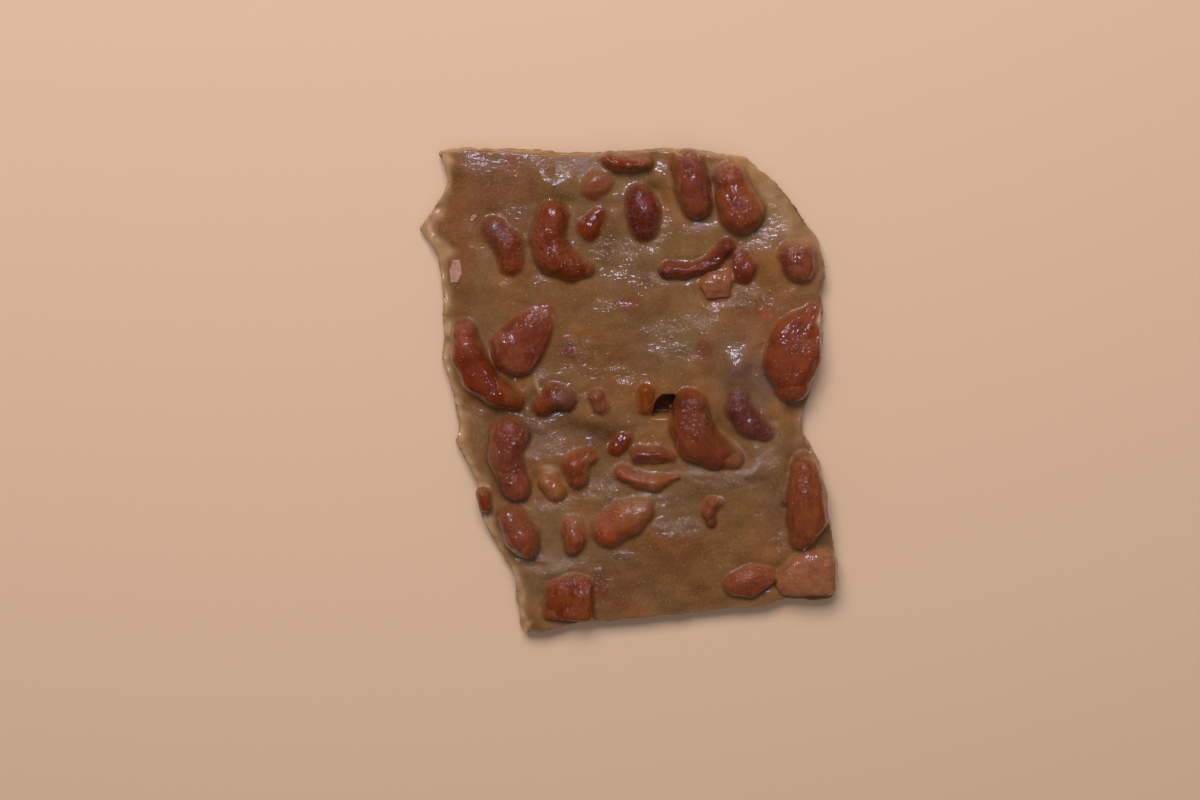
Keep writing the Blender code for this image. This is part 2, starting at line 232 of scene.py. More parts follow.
# Where the coat is pocked by tiny bubbles and glints, and where pale specks and, on the candy, a pale sheen are
# painted in: place and reach in millimetres.
GLINTS = [
    (-15.5, 36.7, 4.1, 0.8), (13.9, 62.5, 2.6, 2.7), (23.1, 60.0, 2.1, 1.9), (26.2, 51.2, 2.3, 2.1),
    (7.9, 33.3, 2.1, 1.1), (16.7, 35.1, 2.3, 0.8), (26.4, 37.2, 1.5, 2.7), (42.2, 40.8, 3.1, 1.6),
    (42.5, 15.7, 4.1, 1.6), (40.4, 8.3, 2.6, 0.5), (27.3, 0.7, 1.5, 1.6), (16.9, -3.6, 3.6, 4.3),
    (-35.4, 5.4, 1.8, 2.7), (-43.4, 18.6, 1.5, 1.3), (-22.8, 22.7, 2.1, 1.1), (-18.9, 2.8, 2.1, 1.6),
    (-32.1, -10.0, 2.1, 3.2), (-31.1, -18.7, 1.8, 2.1), (-27.6, -32.6, 1.8, 1.6),
    (-5.3, -27.9, 3.1, 1.9), (-16.2, -33.4, 1.5, 1.6), (0.1, -19.2, 4.1, 1.6),
    (-12.8, -15.4, 1.5, 1.3), (-16.3, -48.9, 4.6, 1.3), (43.7, -19.2, 1.5, 3.7),
    (29.0, -47.5, 2.6, 1.3), (22.6, -26.8, 1.3, 1.1), (-32.2, 43.6, 1.5, 3.2), (2.8, 53.7, 2.1, 2.1),
    (-4.7, 39.3, 5.6, 3.7), (-23.3, 33.4, 2.1, 2.4), (-19.6, 62.1, 3.6, 2.1), (21.0, 57.1, 1.5, 3.7),
    (16.7, 44.4, 5.1, 1.1), (29.7, 43.4, 2.8, 1.1), (5.2, 32.8, 1.5, 2.1), (-6.9, 24.8, 5.1, 1.3),
    (-16.3, 13.3, 3.3, 2.9), (-24.0, 7.2, 2.6, 1.3), (-27.0, -12.9, 2.1, 4.3),
    (-22.6, -10.7, 3.6, 2.7), (-40.6, -4.0, 2.6, 2.1), (0.8, 6.1, 3.1, 1.1), (25.3, 24.8, 1.8, 1.6),
    (30.0, 26.9, 5.1, 2.9), (27.0, 0.0, 2.1, 2.4), (31.2, 7.5, 1.3, 1.3), (33.2, -2.6, 1.0, 1.9),
    (-17.0, -26.7, 3.1, 0.8), (-6.4, -22.1, 2.1, 2.4), (-23.4, -45.5, 6.2, 1.6),
    (-4.0, -42.2, 4.1, 1.6), (29.9, -21.5, 3.6, 2.1), (14.5, -34.2, 3.6, 2.1), (33.5, -30.3, 1.5, 1.3),
    (38.3, -37.5, 2.1, 2.4), (-8.4, 62.1, 2.1, 1.6), (1.5, 60.9, 1.5, 2.1), (14.5, 12.8, 3.6, 2.1),
    (6.8, 18.5, 5.1, 2.1), (17.0, 21.2, 4.1, 1.6), (-9.7, -49.2, 3.6, 2.7), (4.6, -27.0, 7.7, 1.3),
    (-12.3, 1.4, 2.1, 1.6), (36.6, 52.0, 2.6, 3.7), (-25.5, -8.5, 2.0, 5.0),
    (-20.5, -14.0, 4.0, 1.6), (-21.0, -28.6, 5.0, 1.4), (-10.4, -23.5, 3.0, 3.0), (10.0, -33.5, 7.0, 1.8),
    (22.0, -20.5, 7.0, 2.4), (35.5, -16.0, 3.0, 3.0), (-22.0, -44.0, 8.0, 2.2), (36.0, -8.0, 3.0, 3.0),
]

# Beads of syrup that set on the nuts.
BEADS = [
    (15.8, -1.0), (17.1, -2.7), (14.9, -3.0), (18.6, -3.3), (19.6, -6.3), (17.4, -0.7), (20.3, -7.9),
    (15.7, -8.2), (14.2, -1.4), (18.0, -4.6), (43.4, -15.4), (43.8, -18.3), (42.8, -20.0), (44.4, -20.7),
    (43.0, -22.6), (42.6, -23.6), (43.5, -16.8), (39.5, 14.5), (40.5, 13.2), (41.9, 16.1), (43.8, 18.0),
    (44.9, 19.9), (40.2, 10.3), (-33.3, -17.3), (-31.5, -19.3), (-32.8, -21.3), (-30.5, -18.3),
]


def grit_at(x, y):
    """How rough the coat is at places: 0 smooth, 1 fully pocked."""
    return np.clip(0.12 + lift_at(x, y, [Mark(*place, 0, 1.0) for place in GLINTS]), 0, 1)


def painted(red, green, blue):
    """The surface colour that looks like this screen colour, 0 to 255, under the lights above."""
    seen = ((np.array([red, green, blue]) / 255 + 0.055) / 1.055) ** 2.4
    return np.maximum((seen - 0.010) / 0.95, 0.0008)


def keep_in_box(points):
    """Points in metres, with the tallest tops eased down and everything held inside the object's own box."""
    low, high = np.array(cad_bounds[0]) + 0.03 * MM, np.array(cad_bounds[1]) - 0.03 * MM
    knee = high[2] - 1.1 * MM
    over = np.maximum(points[:, 2] - knee, 0)
    points[:, 2] = np.minimum(points[:, 2], knee) + 1.05 * MM * np.tanh(over / (1.05 * MM))
    return np.clip(points, low, high)


NUT_FIELDS = "node colour lobes corners film soft wrinkle swell fibre marks cuts"
Nut = namedtuple("Nut", NUT_FIELDS, defaults=((), (), -0.06, 1.2, 0.07, 0.18, 0.0, (), ()))
CASHEWS = [
    Nut(
        "cashew_hooked", (100, 46, 29),
        lobes=[
            (-20.3, 48.1, 3.9), (-21.6, 42.6, 4.1), (-19.7, 37.6, 4.6), (-15.8, 35.1, 3.5), (-11.8, 34.2, 1.9),
        ],
        film=-0.02, soft=1.6,
        marks=[
            (-21.2, 48.4, 3.8, 3.2, 0, 0.5), (-16.9, 39.7, 1.8, 2.1, 0, -0.7),
            (-14.5, 36.7, 4.1, 0.7, -32, 0.45), (-22.2, 42.3, 2.1, 2.1, 0, -0.3),
            (-24.5, 36.7, 2.1, 2.7, 0, 0.35), (-10.4, 33.1, 2.1, 1.6, 0, -0.3),
        ],
    ),
    Nut(
        "cashew_long", (101, 45, 26),
        lobes=[
            (-42.9, 17.7, 3.1), (-42.3, 12.2, 4.0), (-39.5, 6.4, 4.2), (-34.9, 2.1, 3.4), (-30.3, -0.1, 2.3),
        ],
        film=-0.04, soft=1.2,
        marks=[
            (-43.1, 19.6, 2.3, 2.4, 0, 0.35), (-36.0, 4.6, 0.9, 4.3, 25, 0.5),
            (-39.4, 11.2, 1.5, 3.7, 20, -0.25), (-33.5, 0.1, 3.1, 1.1, -25, 0.3),
            (-37.4, 13.9, 1.0, 3.7, 20, 0.2), (-45.2, 13.9, 1.3, 3.7, 10, -0.3),
        ],
    ),
    Nut(
        "cashew_top_middle", (105, 54, 38),
        lobes=[(13.5, 61.0, 3.8), (14.3, 56.6, 4.1), (15.8, 51.2, 3.8)],
        film=0.0, soft=1.8,
        marks=[
            (13.4, 62.5, 3.6, 3.2, 0, 0.35), (10.4, 57.0, 1.5, 2.1, 0, -0.6),
            (17.9, 57.5, 1.3, 2.7, 0, -0.3), (12.4, 63.0, 0.5, 3.2, 8, 0.3),
            (16.5, 50.9, 2.3, 2.1, 0, 0.3),
        ],
    ),
    Nut(
        "cashew_top_bean", (112, 57, 38),
        lobes=[(24.1, 56.4, 4.5), (25.3, 53.0, 4.6), (26.9, 49.3, 5.5)],
        film=-0.04, soft=1.5, wrinkle=0.14, swell=0.35,
        marks=[
            (19.6, 56.0, 1.8, 2.1, 0, -1.1), (23.4, 56.0, 3.6, 1.1, 20, -0.45),
            (24.3, 61.0, 3.6, 2.9, 0, 0.5), (27.7, 49.4, 3.6, 3.7, 0, 0.6),
            (22.0, 51.2, 2.1, 2.1, 0, 0.3), (28.3, 56.5, 1.3, 2.1, 0, -0.5),
            (25.2, 52.4, 0.8, 2.4, 15, 0.25),
        ],
    ),
    Nut(
        "cashew_big_right_edge", (111, 55, 36),
        corners=[
            (48.0, 25.0), (48.0, 20.4), (47.8, 14.7), (46.6, 8.9), (45.1, 4.4), (42.4, 0.0),
            (38.3, 0.9), (35.0, 5.0), (33.6, 10.8), (34.3, 15.3), (37.6, 19.8), (42.4, 23.2),
        ],
        lobes=[(45.6, 22.4, 3.0), (42.0, 16.4, 6.8), (40.4, 10.0, 6.9), (40.8, 4.2, 4.6)],
        film=-0.08, soft=0.8,
        marks=[
            (43.7, 18.6, 5.6, 0.5, 58, 0.4), (39.9, 8.1, 4.6, 0.4, 0, -0.45),
            (37.3, 13.3, 2.1, 5.3, 8, 0.3), (46.1, 15.2, 1.0, 5.3, 0, -0.7),
            (42.6, 4.6, 3.6, 1.3, 6, -0.12), (40.1, 1.2, 2.6, 2.2, 0, -0.15),
        ],
        cuts=[
            (47.0, 12.0, 1.2, 1.0, 0.1, 0.3), (41.0, 13.0, 0.5, 0.2, 0.25, 1.0),
        ],
    ),
    Nut(
        "cashew_upright", (104, 55, 40),
        lobes=[(-31.7, -9.6, 5.3), (-33.0, -14.8, 4.3), (-30.3, -23.0, 3.8)],
        film=-0.04, soft=1.4, wrinkle=0.12, swell=0.35,
        marks=[
            (-33.3, -6.0, 3.1, 2.9, 0, 0.5), (-27.2, -13.3, 1.5, 2.7, 0, -0.9),
            (-30.9, -19.2, 2.3, 0.5, -8, -0.45), (-31.4, -21.4, 2.3, 0.5, 5, 0.35),
            (-30.3, -17.0, 2.1, 0.5, 10, 0.3), (-34.9, -14.1, 1.5, 3.2, 0, 0.3),
            (-28.6, -24.9, 2.1, 2.7, 0, 0.3), (-32.1, -11.9, 1.0, 1.9, 20, 0.25),
        ],
    ),
    Nut(
        "cashew_large_middle", (104, 53, 34),
        lobes=[
            (14.6, -1.4, 4.4), (14.7, -6.0, 5.0), (16.6, -10.9, 5.1), (21.2, -14.2, 3.9), (26.4, -15.9, 1.9),
        ],
        film=-0.08, soft=0.9, swell=0.3,
        cuts=[(10.4, -1.0, 3.0, -1.0, 0.45, 0.25)],
        marks=[
            (13.3, 1.2, 3.6, 2.4, 0, 0.4), (14.6, -4.1, 2.6, 2.7, 0, 0.25),
            (10.0, -3.1, 1.0, 2.1, 0, -0.6), (18.5, -10.0, 4.1, 3.2, -35, 0.25),
            (22.9, -7.3, 1.5, 3.7, -30, -0.5),
            (17.1, 0.7, 1.3, 2.1, 30, 0.3),
        ],
    ),
    Nut(
        "cashew_lower_right_edge", (114, 61, 38),
        corners=[
            (45.9, -15.6), (48.3, -20.8), (50.0, -26.1), (50.2, -32.2), (46.8, -37.5), (44.0, -39.9),
            (41.8, -39.2), (40.7, -34.9), (40.8, -26.1), (41.7, -18.8), (43.4, -14.9),
        ],
        lobes=[(44.4, -18.4, 3.4), (45.3, -25.7, 5.1), (45.6, -32.0, 5.2), (44.4, -36.4, 3.6)],
        film=-0.06, soft=0.9,
        marks=[
            (44.4, -18.1, 1.3, 5.3, 0, 0.5), (47.7, -26.3, 1.3, 6.4, 8, -0.6),
            (43.6, -37.2, 1.8, 2.7, 0, 0.3), (41.9, -20.8, 0.8, 6.4, 0, -0.3),
            (46.1, -31.7, 2.3, 0.5, 10, -0.2),
        ],
        cuts=[
            (48.9, -28.0, 1.0, 1.0, 0.15, 0.5),
        ],
    ),
    Nut(
        "cashew_lower_left", (104, 55, 38),
        lobes=[(-31.0, -32.4, 3.9), (-28.9, -37.1, 4.3), (-27.8, -40.0, 3.1)],
        film=0.0, soft=1.8, wrinkle=0.10, swell=0.35,
        marks=[
            (-32.6, -30.4, 2.6, 2.4, 0, 0.4), (-28.2, -33.7, 4.1, 0.8, -50, -0.5),
            (-26.7, -38.6, 3.1, 2.7, 0, 0.5), (-31.3, -37.2, 1.8, 2.1, 0, 0.3),
            (-27.3, -28.5, 1.3, 1.6, 0, -0.5),
        ],
    ),
    Nut(
        "cashew_diagonal", (122, 60, 33),
        lobes=[(-5.9, -35.4, 4.4), (-1.8, -32.1, 4.5), (3.2, -29.2, 3.2)],
        film=-0.04, soft=1.4,
        marks=[
            (-3.8, -28.5, 3.1, 2.1, 30, 0.45), (-8.4, -34.5, 2.6, 3.2, 0, 0.35),
            (-2.7, -35.9, 2.1, 1.9, 0, -0.5), (1.9, -29.6, 2.1, 2.1, 0, -0.3),
            (-6.4, -30.6, 2.6, 0.5, 40, 0.2),
        ],
    ),
    Nut(
        "cashew_corner", (132, 84, 60),
        corners=[
            (38.1, -52.5), (38.6, -48.4), (42.8, -43.0), (45.5, -41.2), (51.7, -41.6),
            (52.9, -44.3), (53.2, -51.5), (50.8, -52.6),
        ],
        lobes=[(44.0, -48.4, 6.6), (47.4, -48.0, 8.0)],
        film=-0.06, soft=1.0, fibre=1.0,
        marks=[
            (43.9, -46.9, 0.8, 3.2, 0, -0.25), (47.0, -48.3, 0.5, 3.2, 0, 0.2),
            (49.6, -46.1, 0.8, 3.2, 0, -0.25), (45.3, -43.3, 5.1, 0.8, 12, 0.25),
            (40.3, -51.1, 1.3, 2.1, 0, -0.4),
        ],
        cuts=[
            (45.0, -48.0, 0.9, 0.0, -0.05, 1.0),
        ],
    ),
    Nut(
        "cashew_split_right", (108, 57, 40),
        lobes=[(38.9, 38.2, 2.9), (40.4, 36.6, 3.4), (42.3, 35.0, 3.4), (42.4, 38.3, 3.2)],
        film=-0.02, soft=1.6, swell=0.35,
        marks=[
            (41.0, 38.2, 2.6, 0.7, -10, -0.6), (39.4, 40.5, 2.1, 1.6, 0, 0.45),
            (44.7, 39.7, 1.3, 1.9, 0, -0.3), (41.8, 33.6, 3.6, 2.1, 0, 0.5),
            (37.2, 36.7, 1.0, 2.7, 0, -0.4), (43.3, 36.7, 0.8, 1.6, 0, -0.4),
        ],
        cuts=[
            (41.0, 36.0, 0.5, 0.1, -0.15, 1.0),
        ],
    ),
]


def to_lobes(points, lobes):
    """Draws a nut's points onto the smooth body round its lobes, keeping its height; all in millimetres."""
    low, high = points[:, 2].min(), points[:, 2].max()
    middle = (low + high) / 2
    squash = (high - low) / 2 / max(radius for _, _, radius in lobes)

    def outside(at_points):
        body = 0
        for (ax, ay, a_radius), (bx, by, b_radius) in zip(lobes, lobes[1:]):
            start, way = np.array([ax, ay, 0]), np.array([bx - ax, by - ay, 0])
            share = np.clip((at_points - start) @ way / (way @ way), 0, 1)
            reach = np.linalg.norm(at_points - start - share[:, None] * way, axis=1)
            body = body + np.exp(-(reach - a_radius - share * (b_radius - a_radius)) / 0.5)
        return -0.5 * np.log(body + 1e-30)

    points = (points - np.array([0, 0, middle])) / np.array([1, 1, squash])
    for _ in range(10):
        off = outside(points)
        slope = np.column_stack([(outside(points + 0.05 * axis) - off) / 0.05 for axis in np.eye(3)])
        points = points - 0.8 * slope * (off / np.maximum((slope**2).sum(axis=1), 0.3))[:, None]
    return points * np.array([1, 1, squash]) + np.array([0, 0, middle])


def add_nut(nut, material):
    """One nut: its solid rounded by subdivision, then bulged, broken, swollen and wrinkled."""
    piece = copy_of_solid(nut.node, "roasted_" + nut.node)
    fatten(piece, 0.3 * MM)
    apply_modifier(piece, "SUBSURF", levels=3, render_levels=3)
    set_points(piece, to_lobes(points_of(piece) / MM, nut.lobes) * MM)
    for rounds in (24, 10):
        apply_modifier(piece, "SMOOTH", factor=0.5, iterations=rounds)
        set_points(piece, to_lobes(points_of(piece) / MM, nut.lobes) * MM)
    grain = along_nut(piece)
    points = points_of(piece) / MM
    seed = points.mean(axis=0)
    moved = grain + np.array([seed[0], seed[1], 0.0])
    upper = np.clip((points[:, 2] - 3.0) / 2.5, 0, 1)
    lift = 0.8 * upper * lift_at(points[:, 0], points[:, 1], [Mark(*mark) for mark in nut.marks])
    lift += nut.swell * wander(moved, (5.0, 3.0, 3.0), 1) + 0.45 * nut.swell * wander(moved, (2.2, 1.6, 1.6), 4)
    points = points + normals_of(piece) * lift[:, None]
    top = points[:, 2].max()
    cuts = [Cut(*cut) for cut in nut.cuts]
    for (ax, ay), (bx, by) in zip(nut.corners, nut.corners[1:] + nut.corners[:1]):
        side = math.hypot(bx - ax, by - ay)
        cuts.append(Cut((ax + bx) / 2, (ay + by) / 2, 1.2, (ay - by) / side, (bx - ax) / side, 0.3))
    for cut in cuts:
        out = np.array([cut.out_x, cut.out_y, cut.out_z])
        out = out / np.linalg.norm(out)
        over = (points - np.array([cut.x, cut.y, top - cut.below])) @ out
        points = points - np.maximum(over, 0)[:, None] * 0.9 * out
    set_points(piece, points * MM)
    folds = creases(moved, (3.2, 1.1, 1.1), 2)
    grit = grit_at(points[:, 0], points[:, 1])
    fine = nut.wrinkle * folds + (0.025 + 0.12 * grit) * wander(moved, (0.95, 0.7, 0.7), 3)
    fine += upper * lift_at(points[:, 0], points[:, 1], [Mark(x, y, 0.6, 0.5, 20, 0.26) for x, y in BEADS])
    points = points + normals_of(piece) * fine[:, None]
    set_points(piece, keep_in_box(points * MM))
    piece.data.shade_smooth()
    # Random tone over each nut, with painted shade that darkens the bottoms of its skin's creases.
    mottle_and_crease_shade = 1 + 0.18 * wander(moved, (4.0, 2.0, 2.0), 5) + 0.10 * wander(moved, (1.6, 0.8, 0.8), 6)
    mottle_and_crease_shade *= 0.86 + 0.14 * folds
    colour = painted(*nut.colour)[None, :] * mottle_and_crease_shade[:, None]
    warm = wander(moved, (3.4, 2.6, 3.0), 7)
    colour *= 1 + warm[:, None] * np.array([0.20, 0.34, 0.10])
    store(piece, "grain", "FLOAT_VECTOR", moved)
    store(piece, "colour", "FLOAT_COLOR", np.column_stack([colour, np.ones(len(colour))]))
    store(piece, "grit", "FLOAT", grit)
    store(piece, "fibre", "FLOAT", np.full(len(grit), nut.fibre))
    piece.data.materials.append(material)
    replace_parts(piece, nut.node)
    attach(piece, "root")
    return piece


def shader_of(material):
    return material.node_tree.nodes["Principled BSDF"]


def node(tree, kind, **inputs):
    """A shader node with the given input values; a tuple of a node and an output's name makes a link."""
    made = tree.nodes.new(kind)
    for key, value in inputs.items():
        socket = made.inputs[int(key[1:])] if key[1:].isdigit() else made.inputs[key.replace("_", " ")]
        if isinstance(value, tuple) and isinstance(value[0], bpy.types.Node):
            tree.links.new(value[0].outputs[value[1]], socket)
        else:
            socket.default_value = value
    return made


def mix(tree, share, first, second, blend="MIX"):
    """A colour mix; share, first and second are values or (node, output) links."""
    made = tree.nodes.new("ShaderNodeMix")
    made.data_type = "RGBA"
    made.blend_type = blend
    for index, value in ((0, share), (6, first), (7, second)):
        if isinstance(value, tuple) and isinstance(value[0], bpy.types.Node):
            tree.links.new(value[0].outputs[value[1]], made.inputs[index])
        else:
            made.inputs[index].default_value = value
    return (made, 2)


def ramp(tree, source, low, high, to_low=0.0, to_high=1.0):
    """A number brought from one range to another, held at the ends."""
    made = node(tree, "ShaderNodeMapRange", Value=source, From_Min=low, From_Max=high, To_Min=to_low, To_Max=to_high)
    return (made, "Result")


def kept(tree, name):
    """The node that reads a value kept on the piece."""
    made = tree.nodes.new("ShaderNodeAttribute")
    made.attribute_name = name
    return made


def specks_and_painted_glints(tree, place, scale, base):
    """The colour with tiny pale specks in it, thickest where the coat is pocked; they are bubbles in the coat and
    painted glints.
    """
    cells = node(tree, "ShaderNodeTexVoronoi", Vector=place, Scale=scale)
    spot = ramp(tree, (cells, "Distance"), 0.14, 0.34, 1.0, 0.0)
    chance = ramp(tree, (kept(tree, "grit"), "Fac"), 0.4, 1.0, 0.2, 0.6)
    odds = node(tree, "ShaderNodeMath", i0=chance, i1=(cells, "Color"))
    odds.operation = "SUBTRACT"
    share = node(tree, "ShaderNodeMath", i0=ramp(tree, (odds, "Value"), 0.0, 0.1, 0.0, 0.4), i1=spot)
    share.operation = "MULTIPLY"
    return mix(tree, (share, "Value"), base, (0.46, 0.41, 0.45, 1.0))


def nut_material(name, roughness):
    """Roasted nut under a thin coat of candy: the nut's own brown, streaked along it."""
    made = bpy.data.materials.new(name)
    made.use_nodes = True
    tree = made.node_tree
    shader = shader_of(made)
    grain = kept(tree, "grain")
    stretch = node(tree, "ShaderNodeMapping", Vector=(grain, "Vector"), Scale=(0.22, 1.0, 1.0))
    streaks = node(tree, "ShaderNodeTexNoise", Vector=(stretch, "Vector"), Scale=1.3, Detail=5.0, Roughness=0.62)
    fine = node(tree, "ShaderNodeTexNoise", Vector=(grain, "Vector"), Scale=1.5, Detail=4.0, Roughness=0.6)
    shade = ramp(tree, (streaks, "Fac"), 0.30, 0.72)
    base = mix(tree, shade, (0.80, 0.76, 0.74, 1.0), (1.22, 1.26, 1.28, 1.0))
    base = mix(tree, 1.0, (kept(tree, "colour"), "Color"), base, "MULTIPLY")
    # Tiny pale specks: bubbles in the coat and painted glints.
    base = specks_and_painted_glints(tree, (grain, "Vector"), 1.7, base)
    tree.links.new(base[0].outputs[base[1]], shader.inputs["Base Color"])
    gloss = ramp(tree, (fine, "Fac"), 0.3, 0.7, roughness - 0.06, roughness + 0.12)
    tree.links.new(gloss[0].outputs[gloss[1]], shader.inputs["Roughness"])
    pocks = ramp(tree, (kept(tree, "grit"), "Fac"), 0.0, 1.0, 0.35, 1.0)
    fibres = ramp(tree, (kept(tree, "fibre"), "Fac"), 0.0, 1.0, 0.12, 1.0)
    along = node(tree, "ShaderNodeBump", Strength=fibres, Distance=0.14 * MM, Height=(streaks, "Fac"))
    bump = node(tree, "ShaderNodeBump", Strength=pocks, Distance=0.16 * MM, Height=(fine, "Fac"))
    tree.links.new(along.outputs["Normal"], bump.inputs["Normal"])
    tree.links.new(bump.outputs["Normal"], shader.inputs["Normal"])
    wet = node(tree, "ShaderNodeTexNoise", Vector=(grain, "Vector"), Scale=0.9, Detail=2.0, Roughness=0.42)
    drops = ramp(tree, (kept(tree, "grit"), "Fac"), 0.0, 1.0, 0.12, 1.0)
    glaze = node(tree, "ShaderNodeBump", Strength=drops, Distance=2.1 * MM, Height=(wet, "Fac"))
    tree.links.new(glaze.outputs["Normal"], shader.inputs["Coat Normal"])
    shader.inputs["Specular IOR Level"].default_value = 0.25
    shader.inputs["Coat Weight"].default_value = 0.95
    shader.inputs["Coat Roughness"].default_value = 0.06
    shader.inputs["Subsurface Weight"].default_value = 0.12
    shader.inputs["Subsurface Radius"].default_value = (1.0, 0.35, 0.15)
    shader.inputs["Subsurface Scale"].default_value = 0.9 * MM
    return made


roasted = nut_material("roasted_nut", 0.40)
nuts = [add_nut(nut, roasted) for nut in CASHEWS]

# ---------------------------------------------------------------- halves, chunks and chips
# Nuts that broke in the kettle: halves with their flat inner side, slivers, and chunks with a paler
# broken face. They are coated and set like the whole ones.

